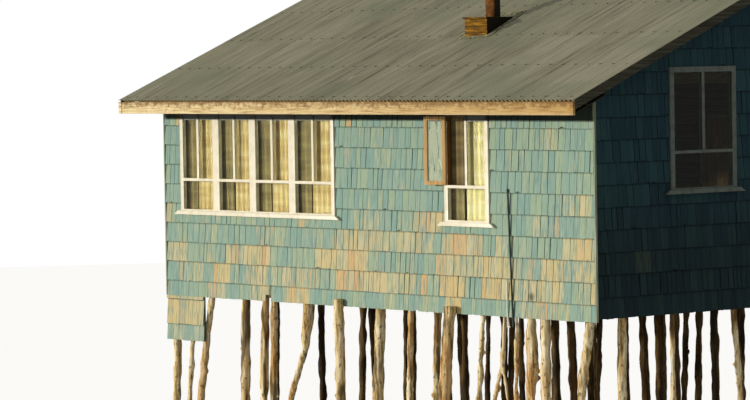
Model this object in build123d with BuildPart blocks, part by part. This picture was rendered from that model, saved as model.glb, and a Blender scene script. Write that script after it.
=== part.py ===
"""A shingled timber house on driven log piles, under a low roof of corrugated zinc sheet."""
import os
from math import atan, cos, degrees, radians, sin, tan

from build123d import *

os.makedirs("parts", exist_ok=True)

# House body, measured over the shingles. X runs along the front wall and -Y is the front.
house_length = 8850
house_width = 6600
skirt_level = 2900
wall_height = 2858
wall_thickness = 110
shingle_depth = 30

# Shingle courses
starter_exposure = 215
course_exposure = 270
course_lap_depth = 14
gable_skirt_rise = 36
gable_starter_exposure = 262
gable_course_exposure = 276

# Gap broken out of the front wall's lower edge
notch_share = 0.262
notch_width = 110
notch_height = 85

# Corner patch of shingles that hangs below the front wall's left end
patch_width = 850
patch_drop = 620
patch_board = 20

# Floor, from the piles up
beam_width = 120
beam_height = 140
beam_inset = 45
inner_beam_rows = 3
joist_width = 45
joist_height = 120
joist_count = 15
rim_thickness = 25
floor_thickness = 25

# Roof
roof_pitch = 22.66
eave_overhang = 568
verge_overhang = 251
rafter_width = 45
rafter_depth = 120
rafter_pairs = 13
ridge_board_thickness = 30
ridge_board_depth = 170
purlin_width = 60
purlin_depth = 40
purlins_per_slope = 5
tie_width = 60
tie_height = 140
tie_count = 3
rafters_per_tie = 3
fascia_thickness = 25
fascia_height = 163
fascia_drop = 6
end_trim_width = 66
end_trim_thickness = 10
barge_thickness = 25
barge_depth = 120
soffit_thickness = 15

# Corrugated sheets
wave_pitch = 76.2
wave_height = 18
sheet_thickness = 3
sheet_lip = 20
ridge_gap = 30
cap_wing = 190
cap_thickness = 3
cap_roll = 32

# Window joinery
jamb = 70
bottom_rail = 20
frame_depth = 60
frame_proud = 12
transom = 38
sill_height = 55
sill_reach = 120
sill_proud = 45
sill_splay = 80
glass_thickness = 4
putty_depth = 14

# Long window of the front wall: clear widths of its bays from left to right
band_offset = 400
band_bays = (680, 680, 720, 760)
band_mullion = 140
band_bar = 42
band_sill_level = 1194
band_height = 1396
band_transom_level = 411

# Small window of the front wall, whose upper left sash stands open
small_offset = 1958
small_width = 860
small_sill_level = 1173
small_height = 1417
small_transom_level = 429
small_bar = 42
sash_stile = 50
sash_thickness = 32
sash_opening_angle = 165
sash_clearance = 2
hinge_diameter = 12
hinge_height = 70
hinge_inset = 110

# Pair of windows in the right gable
gable_window_width = 1150
gable_window_offset = 1445
gable_sill_level = 1579
gable_window_height = 1526
gable_transom_level = 446
gable_bar = 45

# Back wall: two windows and a closed door
back_window_offset = 2500
door_width = 850
door_height = 2050
door_frame = 60
door_thickness = 42

# Chimney through the front slope
curb_width = 384
curb_length = 708
curb_height = 270
curb_twist = 8.3
lid_thickness = 22
lid_reach = 12
lid_length = 470
curb_x = 710
curb_y = -1640
pipe_diameter = 195
pipe_wall = 4
pipe_rise = 1200
cap_diameter = 380
cap_height = 110
cap_gap = 90
cap_folds = 16
chimney_sides = 24
cap_point = 30
cap_strap = 20
cap_straps = 3

# Waste pipe on the front wall
pipe_sides = 10
waste_pipe_offset = 1528
waste_pipe_lean = 69
waste_pipe_diameter = 26
waste_pipe_head = 1610
waste_pipe_drop = 120
drain_diameter = 20
drain_spacing = 107
drain_head = 440
drain_hook = 45

# Curtains behind the front windows
curtain_thickness = 16
curtain_setback = 28
rod_diameter = 16
rod_drop = 30
curtain_cover = 0.63
side_curtain_cover = 0.26
curtain_lap = 62

# Piles
pile_setback = 30
seat = 0.3
log_sides = 8
fender_sides = 10
log_taper = 0.9
knee_share = 0.5
knee_swell = 1.04
shoulder_share = 0.78
shoulder_swell = 0.96
fender_lap = 95
fender_bow = 8
gable_pile_bow = 12
inner_pile_spacing = 1020
inner_piles_per_row = 9
inner_pile_diameter = 118
inner_pile_spread = 90
inner_pile_lean = 140
back_pile_count = 12
back_pile_inset = 200
back_pile_diameter = 118
back_pile_lean = 180
back_pile_bow = 15
diameter_spread = 25

# Levels and faces that follow from the sizes above
core_x = house_length / 2 - shingle_depth
core_y = house_width / 2 - shingle_depth
inner_x = core_x - wall_thickness
inner_y = core_y - wall_thickness
plate_level = skirt_level + wall_height
pile_top = skirt_level + beam_inset
beam_top = pile_top + beam_height
joist_top = beam_top + joist_height
floor_level = joist_top + floor_thickness
rise = tan(radians(roof_pitch))
rafter_plumb = rafter_depth / cos(radians(roof_pitch))
purlin_plumb = purlin_depth / cos(radians(roof_pitch))
verge_x = house_length / 2 + verge_overhang
eave_y = house_width / 2 + eave_overhang
tail_y = eave_y - fascia_thickness


def rafter_underside(y):
    """Height of the rafters' lower edge at a distance y from the ridge line."""
    return plate_level + (inner_y - abs(y)) * rise


def rafter_top(y):
    """Height of the rafters' upper edge, on which the purlins lie."""
    return rafter_underside(y) + rafter_plumb


def sheet_level(y):
    """Height of the purlins' upper face, on which the roof sheets lie."""
    return rafter_top(y) + purlin_plumb


def log(stations, sides):
    """One tapered, crooked log: level sections at (x, y, z, diameter), joined by a ruled loft."""
    sections = []
    for x, y, z, diameter in stations:
        with BuildSketch(Plane.XY.offset(z)) as section:
            with Locations((x, y)):
                RegularPolygon(diameter / 2, sides)
        sections.append(section.sketch)
    loft(sections, ruled=True)


def wander(number, reach):
    """A crooked offset that differs from log to log, and is the same in every build."""
    return reach * sin(2.4 * number) * cos(1.1 * number + 0.7)


# Front row of piles from left to right: (share of the front's length at which the top stands, how far the
# foot stands to the left of it, diameter at the foot, bow to the right at mid height)
front_row = [
    (0.015, 190, 112, 10),
    (0.066, 350, 75, -20),
    (0.106, 410, 105, -70),
    (0.189, 170, 137, 15),
    (0.239, 190, 122, 10),
    (0.262, 180, 108, 15),
    (0.514, 270, 152, 20),
    (0.588, 170, 91, 10),
    (0.648, 110, 103, -15),
    (0.749, 350, 82, 25),
    (0.822, 110, 63, 10),
    (0.879, 110, 137, 10),
    (0.973, 470, 123, -25),
]

# Odd logs, as stations of (share of the pile's height, shift from its top, diameter) from the foot up
odd_log_depth = 170
odd_logs = [
    (0.342, [(0, -740, 105), (0.55, -420, 95), (0.78, -85, 110), (0.93, -20, 165), (1, 0, 170)]),
    (0.846, [(0, -110, 90), (0.6, -50, 100), (0.77, 10, 165), (0.88, 0, 150), (1, 0, 85)]),
    (0.790, [(0.74, -70, 70), (1, 0, 56)]),
    (0.790, [(0, -430, 62), (0.6, -240, 56), (0.77, -75, 50)]),
    (0.790, [(0, 80, 58), (0.6, 40, 52), (0.77, -50, 48)]),
    (0.189, [(0.7, -95, 60), (0.76, -175, 34)]),
]
with BuildPart() as front_piles:
    for share, lean, diameter, bow in front_row:
        y = -core_y + pile_setback + diameter / 2
        top_x = (share - 0.5) * house_length
        foot_x = top_x - lean
        knee_x = (top_x + foot_x) / 2 + bow
        log(
            [
                (foot_x, y, 0, diameter),
                (knee_x, y + bow / 2, pile_top * knee_share, diameter * knee_swell),
                ((top_x + knee_x) / 2 + bow / 3, y, pile_top * shoulder_share, diameter * shoulder_swell),
                (top_x, y, pile_top, diameter * log_taper),
            ],
            log_sides,
        )
    for share, stations in odd_logs:
        top_x = (share - 0.5) * house_length
        y = -core_y + pile_setback + odd_log_depth / 2
        log([(top_x + shift, y, level * pile_top, size) for level, shift, size in stations], log_sides)
front_piles.part.label = "front_piles"
export_step(front_piles.part, "parts/front_piles.step")

# Two stout piles driven just outside the wall, spiked to its skirt by a flat of their tops
log_flat = cos(radians(180 / fender_sides))
fender_row = [(0.441, -90, 142), (0.698, 330, 166)]
with BuildPart() as fender_piles:
    for share, lean, diameter in fender_row:
        top_x = (share - 0.5) * house_length
        foot_x = top_x - lean
        y = -house_width / 2 - diameter * log_taper / 2 * log_flat - seat
        log(
            [
                (foot_x, y, 0, diameter),
                ((top_x + foot_x) / 2, y - fender_bow, skirt_level * knee_share, diameter),
                (top_x, y, skirt_level + fender_lap, diameter * log_taper),
            ],
            fender_sides,
        )
fender_piles.part.label = "fender_piles"
export_step(fender_piles.part, "parts/fender_piles.step")

# Piles under the right gable: (share of the width at which the top stands, lean of the foot, diameter)
gable_row = [(0.077, -40, 130), (0.2, 50, 60), (0.364, 340, 88), (0.615, 60, 96), (0.888, -120, 110)]
with BuildPart() as gable_piles:
    for share, lean, diameter in gable_row:
        x = core_x - diameter / 2 - seat
        top_y = (share - 0.5) * house_width
        foot_y = top_y + lean
        log(
            [
                (x, foot_y, 0, diameter),
                (x - gable_pile_bow, (top_y + foot_y) / 2, beam_top * knee_share, diameter),
                (x, top_y, beam_top, diameter * log_taper),
            ],
            log_sides,
        )
gable_piles.part.label = "gable_piles"
export_step(gable_piles.part, "parts/gable_piles.step")

# Long beams: one under each long wall and a few between
beam_run = 2 * (core_y - beam_width / 2)
beam_spacing = beam_run / (inner_beam_rows + 1)
inner_rows = [beam_spacing * (row + 1) - beam_run / 2 for row in range(inner_beam_rows)]
with BuildPart() as inner_piles:
    for row, row_y in enumerate(inner_rows):
        for place in range(inner_piles_per_row):
            number = row * inner_piles_per_row + place
            x = (place - (inner_piles_per_row - 1) / 2) * inner_pile_spacing
            x += wander(number, inner_pile_spread)
            foot_x = x + wander(number + 5, inner_pile_lean)
            foot_y = row_y + wander(number + 9, inner_pile_spread)
            diameter = inner_pile_diameter + wander(number, diameter_spread)
            log([(foot_x, foot_y, 0, diameter), (x, row_y, pile_top, diameter * log_taper)], log_sides)
inner_piles.part.label = "inner_piles"
export_step(inner_piles.part, "parts/inner_piles.step")

back_pile_spacing = (house_length - 2 * back_pile_inset) / (back_pile_count - 1)
with BuildPart() as back_piles:
    for place in range(back_pile_count):
        x = (place - (back_pile_count - 1) / 2) * back_pile_spacing
        foot_x = x + wander(place, back_pile_lean)
        diameter = back_pile_diameter + wander(place + 3, diameter_spread)
        y = core_y - pile_setback - diameter / 2
        log(
            [
                (foot_x, y, 0, diameter),
                ((x + foot_x) / 2, y - back_pile_bow, pile_top * knee_share, diameter),
                (x, y, pile_top, diameter * log_taper),
            ],
            log_sides,
        )
back_piles.part.label = "back_piles"
export_step(back_piles.part, "parts/back_piles.step")

with BuildPart() as floor_beams:
    with BuildSketch(Plane.YZ):
        for row_y in [-beam_run / 2] + inner_rows + [beam_run / 2]:
            with Locations((row_y, pile_top + beam_height / 2)):
                Rectangle(beam_width, beam_height)
    extrude(amount=core_x, both=True)
floor_beams.part.label = "floor_beams"
export_step(floor_beams.part, "parts/floor_beams.step")

joist_spacing = (2 * core_x - joist_width) / (joist_count - 1)
with BuildPart() as floor_joists:
    with BuildSketch(Plane.XY.offset(beam_top)):
        with GridLocations(joist_spacing, 0, joist_count, 1):
            Rectangle(joist_width, 2 * (core_y - rim_thickness))
    extrude(amount=joist_height)
floor_joists.part.label = "floor_joists"
export_step(floor_joists.part, "parts/floor_joists.step")

with BuildPart() as rim_boards:
    with BuildSketch(Plane.XY.offset(beam_top)):
        with GridLocations(0, 2 * core_y - rim_thickness, 1, 2):
            Rectangle(2 * core_x, rim_thickness)
    extrude(amount=joist_height)
rim_boards.part.label = "rim_boards"
export_step(rim_boards.part, "parts/rim_boards.step")

with BuildPart() as floor:
    with BuildSketch(Plane.XY.offset(joist_top)):
        Rectangle(2 * core_x, 2 * core_y)
    extrude(amount=floor_thickness)
floor.part.label = "floor"
export_step(floor.part, "parts/floor.step")

# Openings as (left, bottom, right, top) in the plane of their wall
band_left = -house_length / 2 + band_offset
band_width = 2 * jamb + sum(band_bays) + (len(band_bays) - 1) * band_mullion
band_sill = skirt_level + band_sill_level
band_opening = (band_left, band_sill, band_left + band_width, band_sill + band_height)
small_right = house_length / 2 - small_offset
small_sill = skirt_level + small_sill_level
small_opening = (small_right - small_width, small_sill, small_right, small_sill + small_height)
gable_sill = skirt_level + gable_sill_level
gable_openings = [
    (y - gable_window_width / 2, gable_sill, y + gable_window_width / 2, gable_sill + gable_window_height)
    for y in (-gable_window_offset, gable_window_offset)
]
back_openings = [
    (x - gable_window_width / 2, band_sill, x + gable_window_width / 2, band_sill + band_height)
    for x in (-back_window_offset, back_window_offset)
]
door_opening = (-door_width / 2, floor_level, door_width / 2, floor_level + door_height)


def area(opening, mode=Mode.ADD):
    """The rectangle of an opening or a light, added to a sketch or cut from it."""
    left, bottom, right, top = opening
    with Locations(((left + right) / 2, (bottom + top) / 2)):
        Rectangle(right - left, top - bottom, mode=mode)


def long_wall(openings):
    """Timber core of a wall along X, from the floor to the wall plate."""
    area((-inner_x, floor_level, inner_x, plate_level))
    for opening in openings:
        area(opening, Mode.SUBTRACT)


def gable_outline(bottom, half_width, openings):
    """A gable in the YZ plane, up to the undersides of the purlins."""
    Polygon(
        (-half_width, bottom),
        (half_width, bottom),
        (half_width, rafter_top(half_width)),
        (0, rafter_top(0)),
        (-half_width, rafter_top(half_width)),
        align=None,
    )
    for opening in openings:
        area(opening, Mode.SUBTRACT)


with BuildPart() as front_wall:
    with BuildSketch(Plane.XZ.offset(inner_y)):
        long_wall([band_opening, small_opening])
    extrude(amount=wall_thickness)
front_wall.part.label = "front_wall"
export_step(front_wall.part, "parts/front_wall.step")

with BuildPart() as back_wall:
    with BuildSketch(Plane.XZ.offset(-core_y)):
        long_wall(back_openings + [door_opening])
    extrude(amount=wall_thickness)
back_wall.part.label = "back_wall"
export_step(back_wall.part, "parts/back_wall.step")

with BuildPart() as right_gable_wall:
    with BuildSketch(Plane.YZ.offset(inner_x)):
        gable_outline(floor_level, core_y, gable_openings)
    extrude(amount=wall_thickness)
right_gable_wall.part.label = "right_gable_wall"
export_step(right_gable_wall.part, "parts/right_gable_wall.step")

with BuildPart() as left_gable_wall:
    with BuildSketch(Plane.YZ.offset(-core_x)):
        gable_outline(floor_level, core_y, [])
    extrude(amount=wall_thickness)
left_gable_wall.part.label = "left_gable_wall"
export_step(left_gable_wall.part, "parts/left_gable_wall.step")


def lapped_courses(corner, outward, run, bottom, top, starter, exposure):
    """Saw-tooth block of lapped shingle courses on a wall, from one corner along the wall."""
    points = [(0, top), (0, bottom)]
    level = bottom
    head = bottom + starter
    while level < top:
        lap = course_lap_depth * (head - level) / exposure
        points += [(shingle_depth, level), (shingle_depth - lap, head)]
        level = head
        head = min(level + exposure, top)
    along = Vector(outward).cross(Vector(0, 0, 1))
    with BuildSketch(Plane(origin=corner, x_dir=outward, z_dir=along)) as section:
        Polygon(*points, align=None)
    extrude(section.sketch, amount=run)


cladding_top = rafter_underside(house_width / 2)
long_courses = (starter_exposure, course_exposure)
gable_courses = (gable_starter_exposure, gable_course_exposure)
notch_x = (notch_share - 0.5) * house_length
gable_skirt = skirt_level + gable_skirt_rise
with BuildPart() as front_shingles:
    lapped_courses((core_x, -core_y, 0), (0, -1, 0), 2 * core_x, skirt_level, cladding_top, *long_courses)
    with BuildSketch(Plane.XZ.offset(core_y)):
        area(band_opening)
        area(small_opening)
        area((notch_x - notch_width / 2, skirt_level, notch_x + notch_width / 2, skirt_level + notch_height))
    extrude(amount=shingle_depth, mode=Mode.SUBTRACT)
front_shingles.part.label = "front_shingles"
export_step(front_shingles.part, "parts/front_shingles.step")

with BuildPart() as back_shingles:
    lapped_courses((-core_x, core_y, 0), (0, 1, 0), 2 * core_x, skirt_level, cladding_top, *long_courses)
    with BuildSketch(Plane.XZ.offset(-core_y)):
        for opening in back_openings + [door_opening]:
            area(opening)
    extrude(amount=-shingle_depth, mode=Mode.SUBTRACT)
back_shingles.part.label = "back_shingles"
export_step(back_shingles.part, "parts/back_shingles.step")

with BuildPart() as right_gable_shingles:
    lapped_courses((core_x, core_y, 0), (1, 0, 0), 2 * core_y, gable_skirt, rafter_top(0), *gable_courses)
    with BuildSketch(Plane.YZ.offset(core_x)):
        gable_outline(gable_skirt, core_y, gable_openings)
    extrude(amount=shingle_depth, mode=Mode.INTERSECT)
right_gable_shingles.part.label = "right_gable_shingles"
export_step(right_gable_shingles.part, "parts/right_gable_shingles.step")

with BuildPart() as left_gable_shingles:
    lapped_courses((-core_x, -core_y, 0), (-1, 0, 0), 2 * core_y, gable_skirt, rafter_top(0), *gable_courses)
    with BuildSketch(Plane.YZ.offset(-core_x)):
        gable_outline(gable_skirt, core_y, [])
    extrude(amount=-shingle_depth, mode=Mode.INTERSECT)
left_gable_shingles.part.label = "left_gable_shingles"
export_step(left_gable_shingles.part, "parts/left_gable_shingles.step")

with BuildPart() as corner_battens:
    with BuildSketch(Plane.XY.offset(skirt_level)):
        with GridLocations(2 * core_x + shingle_depth, 2 * core_y + shingle_depth, 2, 2):
            Rectangle(shingle_depth, shingle_depth)
    extrude(amount=cladding_top - skirt_level)
corner_battens.part.label = "corner_battens"
export_step(corner_battens.part, "parts/corner_battens.step")

with BuildPart() as corner_patch:
    patch_right = -house_length / 2 + patch_width
    patch_bottom = skirt_level - patch_drop
    patch_end = (patch_right, -core_y, 0)
    lapped_courses(patch_end, (0, -1, 0), patch_width, patch_bottom, skirt_level, *long_courses)
    with BuildSketch(Plane.XZ.offset(core_y)):
        area((-core_x, skirt_level - patch_drop, patch_right, pile_top))
    extrude(amount=-patch_board)
corner_patch.part.label = "corner_patch"
export_step(corner_patch.part, "parts/corner_patch.step")

# Roof frame
rafter_spacing = (2 * inner_x - rafter_width) / (rafter_pairs - 1)
with BuildPart() as tie_beams:
    tie_spacing = rafters_per_tie * rafter_spacing
    for place in range(tie_count):
        x = (place - (tie_count - 1) / 2) * tie_spacing + (rafter_width + tie_width) / 2
        clip = core_y - (plate_level + tie_height - rafter_top(core_y)) / rise
        with BuildSketch(Plane.YZ.offset(x - tie_width / 2)):
            Polygon(
                (-core_y, plate_level),
                (core_y, plate_level),
                (core_y, rafter_top(core_y)),
                (clip, plate_level + tie_height),
                (-clip, plate_level + tie_height),
                (-core_y, rafter_top(core_y)),
                align=None,
            )
        extrude(amount=tie_width)
tie_beams.part.label = "tie_beams"
export_step(tie_beams.part, "parts/tie_beams.step")

with BuildPart() as ridge_board:
    with BuildSketch(Plane.YZ):
        ridge_top = rafter_top(ridge_board_thickness / 2)
        half_ridge = ridge_board_thickness / 2
        area((-half_ridge, ridge_top - ridge_board_depth, half_ridge, ridge_top))
    extrude(amount=inner_x, both=True)
ridge_board.part.label = "ridge_board"
export_step(ridge_board.part, "parts/ridge_board.step")

with BuildPart() as rafters:
    for side in (-1, 1):
        head_y = ridge_board_thickness / 2
        profile = [
            (tail_y, rafter_underside(tail_y)),
            (tail_y, rafter_top(tail_y)),
            (head_y, rafter_top(head_y)),
            (head_y, rafter_underside(head_y)),
            (inner_y, plate_level),
            (core_y, plate_level),
            (core_y, rafter_underside(core_y)),
        ]
        for place in range(rafter_pairs):
            x = (place - (rafter_pairs - 1) / 2) * rafter_spacing
            with BuildSketch(Plane.YZ.offset(x - rafter_width / 2)):
                Polygon(*[(side * y, z) for y, z in profile], align=None)
            extrude(amount=rafter_width)
rafters.part.label = "rafters"
export_step(rafters.part, "parts/rafters.step")

first_purlin = tail_y - purlin_width
last_purlin = ridge_board_thickness / 2 + purlin_width
with BuildPart() as purlins:
    for side in (-1, 1):
        for place in range(purlins_per_slope):
            y = first_purlin + (last_purlin - first_purlin) * place / (purlins_per_slope - 1)
            with BuildSketch(Plane.YZ):
                with Locations((side * y, rafter_top(y))):
                    Rectangle(
                        purlin_width,
                        purlin_depth,
                        rotation=-side * roof_pitch,
                        align=(Align.CENTER, Align.MIN),
                    )
            extrude(amount=verge_x - barge_thickness, both=True)
purlins.part.label = "purlins"
export_step(purlins.part, "parts/purlins.step")

# Corrugated sheets, one slope each, drawn in section and run down from the ridge
wave_count = round(2 * verge_x / wave_pitch)
wave = 2 * verge_x / wave_count
sheet_run = (eave_y + sheet_lip - ridge_gap) / cos(radians(roof_pitch))


def corrugated_section():
    """Waves from verge to verge: a flat valley that lies on the purlins, and a crest."""
    underside = [(-verge_x, 0)]
    for place in range(wave_count):
        left = -verge_x + place * wave
        underside += [(left + wave / 6, 0), (left + wave / 2, wave_height), (left + wave * 5 / 6, 0)]
    underside.append((verge_x, 0))
    upper_side = [(x, y + sheet_thickness) for x, y in reversed(underside)]
    Polygon(*underside, *upper_side, align=None)


down_slope = (0, -cos(radians(roof_pitch)), -sin(radians(roof_pitch)))
with BuildPart() as front_roof:
    sheet_head = (0, -ridge_gap, sheet_level(ridge_gap))
    with BuildSketch(Plane(origin=sheet_head, x_dir=(1, 0, 0), z_dir=down_slope)):
        corrugated_section()
    extrude(amount=sheet_run)
front_roof.part.label = "front_roof"
export_step(front_roof.part, "parts/front_roof.step")

with BuildPart() as back_roof:
    mirror(front_roof.part, about=Plane.XZ)
back_roof.part.label = "back_roof"
export_step(back_roof.part, "parts/back_roof.step")


def crest_level(y):
    """Height of the sheets' crests, on which the ridge cap and the chimney curb lie."""
    return sheet_level(y) + (wave_height + sheet_thickness) / cos(radians(roof_pitch))


with BuildPart() as ridge_cap:
    with BuildSketch(Plane.YZ):
        cap_plumb = cap_thickness / cos(radians(roof_pitch))
        Polygon(
            (-cap_wing, crest_level(cap_wing)),
            (0, crest_level(0)),
            (cap_wing, crest_level(cap_wing)),
            (cap_wing, crest_level(cap_wing) + cap_plumb),
            (0, crest_level(0) + cap_plumb),
            (-cap_wing, crest_level(cap_wing) + cap_plumb),
            align=None,
        )
        with Locations((0, crest_level(0))):
            Circle(cap_roll)
            Circle(cap_roll - cap_thickness, mode=Mode.SUBTRACT)
        Polygon(
            (-2 * cap_roll, crest_level(2 * cap_roll)),
            (0, crest_level(0)),
            (2 * cap_roll, crest_level(2 * cap_roll)),
            (0, crest_level(0) - 2 * cap_roll),
            align=None,
            mode=Mode.SUBTRACT,
        )
    extrude(amount=verge_x, both=True)
ridge_cap.part.label = "ridge_cap"
export_step(ridge_cap.part, "parts/ridge_cap.step")

# Boards that close the eaves and the verges
soffit_plumb = soffit_thickness / cos(radians(roof_pitch))
fascia_bottom = rafter_underside(tail_y) - soffit_plumb - fascia_drop
with BuildPart() as front_fascia:
    with BuildSketch(Plane.XZ.offset(tail_y)):
        area((-verge_x, fascia_bottom, verge_x, fascia_bottom + fascia_height))
    extrude(amount=fascia_thickness)
    with BuildSketch(Plane.XZ.offset(eave_y)):
        area((verge_x - end_trim_width, fascia_bottom, verge_x, fascia_bottom + fascia_height))
        area((-verge_x, fascia_bottom, end_trim_width - verge_x, fascia_bottom + fascia_height))
    extrude(amount=end_trim_thickness)
front_fascia.part.label = "front_fascia"
export_step(front_fascia.part, "parts/front_fascia.step")

with BuildPart() as back_fascia:
    mirror(front_fascia.part, about=Plane.XZ)
back_fascia.part.label = "back_fascia"
export_step(back_fascia.part, "parts/back_fascia.step")

with BuildPart() as eave_soffits:
    for side in (-1, 1):
        with BuildSketch(Plane.YZ):
            Polygon(
                (side * tail_y, rafter_underside(tail_y)),
                (side * house_width / 2, rafter_underside(house_width / 2)),
                (side * house_width / 2, rafter_underside(house_width / 2) - soffit_plumb),
                (side * tail_y, rafter_underside(tail_y) - soffit_plumb),
                align=None,
            )
        extrude(amount=verge_x - barge_thickness, both=True)
eave_soffits.part.label = "eave_soffits"
export_step(eave_soffits.part, "parts/eave_soffits.step")

barge_plumb = barge_depth / cos(radians(roof_pitch))
with BuildPart() as right_bargeboards:
    with BuildSketch(Plane.YZ.offset(verge_x - barge_thickness)):
        Polygon(
            (-tail_y, sheet_level(tail_y)),
            (0, sheet_level(0)),
            (tail_y, sheet_level(tail_y)),
            (tail_y, sheet_level(tail_y) - barge_plumb),
            (0, sheet_level(0) - barge_plumb),
            (-tail_y, sheet_level(tail_y) - barge_plumb),
            align=None,
        )
    extrude(amount=barge_thickness)
right_bargeboards.part.label = "right_bargeboards"
export_step(right_bargeboards.part, "parts/right_bargeboards.step")

with BuildPart() as left_bargeboards:
    mirror(right_bargeboards.part, about=Plane.YZ)
left_bargeboards.part.label = "left_bargeboards"
export_step(left_bargeboards.part, "parts/left_bargeboards.step")


# Window joinery: frames fill their openings, with lights between jambs, mullions and a transom
def lights(opening, bays, mullion, bar, transom_level):
    """Clear areas of a window's lights: one wide light in each bay under the transom, two tall ones above."""
    left, bottom, _, top = opening
    lower = []
    upper = []
    x = left + jamb
    for bay in bays:
        lower.append((x, bottom + bottom_rail, x + bay, bottom + transom_level))
        for tall_x in (x, x + (bay + bar) / 2):
            upper.append((tall_x, bottom + transom_level + transom, tall_x + (bay - bar) / 2, top - jamb))
        x += bay + mullion
    return lower, upper


def frame_section(opening, panes):
    area(opening)
    for pane in panes:
        area(pane, Mode.SUBTRACT)


def sill_section(opening):
    """Front view of the sill board, which flares past both sides of its window."""
    left, bottom, right, _ = opening
    Polygon(
        (left - sill_reach, bottom - sill_height),
        (right + sill_reach, bottom - sill_height),
        (right + sill_reach - sill_splay, bottom),
        (left - sill_reach + sill_splay, bottom),
        align=None,
    )


front_face = house_width / 2
gable_face = house_length / 2
band_low, band_tall = lights(band_opening, band_bays, band_mullion, band_bar, band_transom_level)
with BuildPart() as band_window:
    with BuildSketch(Plane.XZ.offset(front_face + frame_proud)):
        frame_section(band_opening, band_low + band_tall)
    extrude(amount=-frame_depth)
    with BuildSketch(Plane.XZ.offset(front_face)):
        sill_section(band_opening)
    extrude(amount=sill_proud)
band_window.part.label = "band_window"
export_step(band_window.part, "parts/band_window.step")

small_bay = (small_width - 2 * jamb,)
small_low, small_tall = lights(small_opening, small_bay, 0, small_bar, small_transom_level)
light_left, light_bottom, light_right, light_top = small_tall[0]
pin_x = light_left
pin_y = -(front_face + frame_proud)
sash_bottom = light_bottom + sash_clearance
sash_top = light_top - sash_clearance
with BuildPart() as small_window:
    with BuildSketch(Plane.XZ.offset(front_face + frame_proud)):
        frame_section(small_opening, small_low + small_tall)
    extrude(amount=-frame_depth)
    with BuildSketch(Plane.XZ.offset(front_face)):
        sill_section(small_opening)
    extrude(amount=sill_proud)
    for hinge_z in (sash_bottom + hinge_inset, sash_top - hinge_inset):
        with BuildSketch(Plane.XY.offset(hinge_z - hinge_height / 2)):
            with Locations((pin_x, pin_y)):
                RegularPolygon(hinge_diameter / 2, pipe_sides)
        extrude(amount=hinge_height)
small_window.part.label = "small_window"
export_step(small_window.part, "parts/small_window.step")

swing = radians(-sash_opening_angle)
sash_along = Vector(cos(swing), sin(swing), 0)
sash_plane = Plane(origin=(pin_x, pin_y, 0), x_dir=sash_along, z_dir=sash_along.cross(Vector(0, 0, 1)))
sash_edge = hinge_diameter / 2 + seat
sash_end = light_right - light_left - sash_clearance
sash_area = (sash_edge, sash_bottom, sash_end, sash_top)
sash_pane = (sash_edge + sash_stile, sash_bottom + sash_stile, sash_end - sash_stile, sash_top - sash_stile)
with BuildPart() as open_sash:
    with BuildSketch(sash_plane):
        frame_section(sash_area, [sash_pane])
    extrude(amount=-sash_thickness)
open_sash.part.label = "open_sash"
export_step(open_sash.part, "parts/open_sash.step")

glass_setback = putty_depth - frame_proud + glass_thickness
with BuildPart() as front_glass:
    with BuildSketch(Plane.XZ.offset(front_face - glass_setback)):
        for pane in band_low + band_tall + small_low + small_tall[1:]:
            area(pane)
    extrude(amount=glass_thickness)
    with BuildSketch(sash_plane.offset(-sash_thickness / 2)):
        area(sash_pane)
    extrude(amount=glass_thickness)
front_glass.part.label = "front_glass"
export_step(front_glass.part, "parts/front_glass.step")

gable_bay = (gable_window_width - 2 * jamb,)
gable_panes = []
with BuildPart() as gable_windows:
    for opening in gable_openings:
        low, tall = lights(opening, gable_bay, 0, gable_bar, gable_transom_level)
        gable_panes += low + tall
        with BuildSketch(Plane.YZ.offset(gable_face + frame_proud)):
            frame_section(opening, low + tall)
        extrude(amount=-frame_depth)
        with BuildSketch(Plane.YZ.offset(gable_face)):
            sill_section(opening)
        extrude(amount=sill_proud)
gable_windows.part.label = "gable_windows"
export_step(gable_windows.part, "parts/gable_windows.step")

with BuildPart() as gable_glass:
    with BuildSketch(Plane.YZ.offset(gable_face - glass_setback)):
        for pane in gable_panes:
            area(pane)
    extrude(amount=glass_thickness)
gable_glass.part.label = "gable_glass"
export_step(gable_glass.part, "parts/gable_glass.step")

back_panes = []
with BuildPart() as back_windows:
    for opening in back_openings:
        low, tall = lights(opening, gable_bay, 0, gable_bar, band_transom_level)
        back_panes += low + tall
        with BuildSketch(Plane.XZ.offset(-front_face - frame_proud)):
            frame_section(opening, low + tall)
        extrude(amount=frame_depth)
        with BuildSketch(Plane.XZ.offset(-front_face)):
            sill_section(opening)
        extrude(amount=-sill_proud)
back_windows.part.label = "back_windows"
export_step(back_windows.part, "parts/back_windows.step")

with BuildPart() as back_glass:
    with BuildSketch(Plane.XZ.offset(-front_face + glass_setback)):
        for pane in back_panes:
            area(pane)
    extrude(amount=-glass_thickness)
back_glass.part.label = "back_glass"
export_step(back_glass.part, "parts/back_glass.step")

door_leaf = (
    -door_width / 2 + door_frame,
    floor_level,
    door_width / 2 - door_frame,
    floor_level + door_height - door_frame,
)
with BuildPart() as back_door_frame:
    with BuildSketch(Plane.XZ.offset(-front_face - frame_proud)):
        frame_section(door_opening, [door_leaf])
    extrude(amount=frame_depth)
back_door_frame.part.label = "back_door_frame"
export_step(back_door_frame.part, "parts/back_door_frame.step")

with BuildPart() as back_door:
    with BuildSketch(Plane.XZ.offset(-front_face + frame_proud)):
        area(door_leaf)
    extrude(amount=door_thickness)
back_door.part.label = "back_door"
export_step(back_door.part, "parts/back_door.step")

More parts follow.
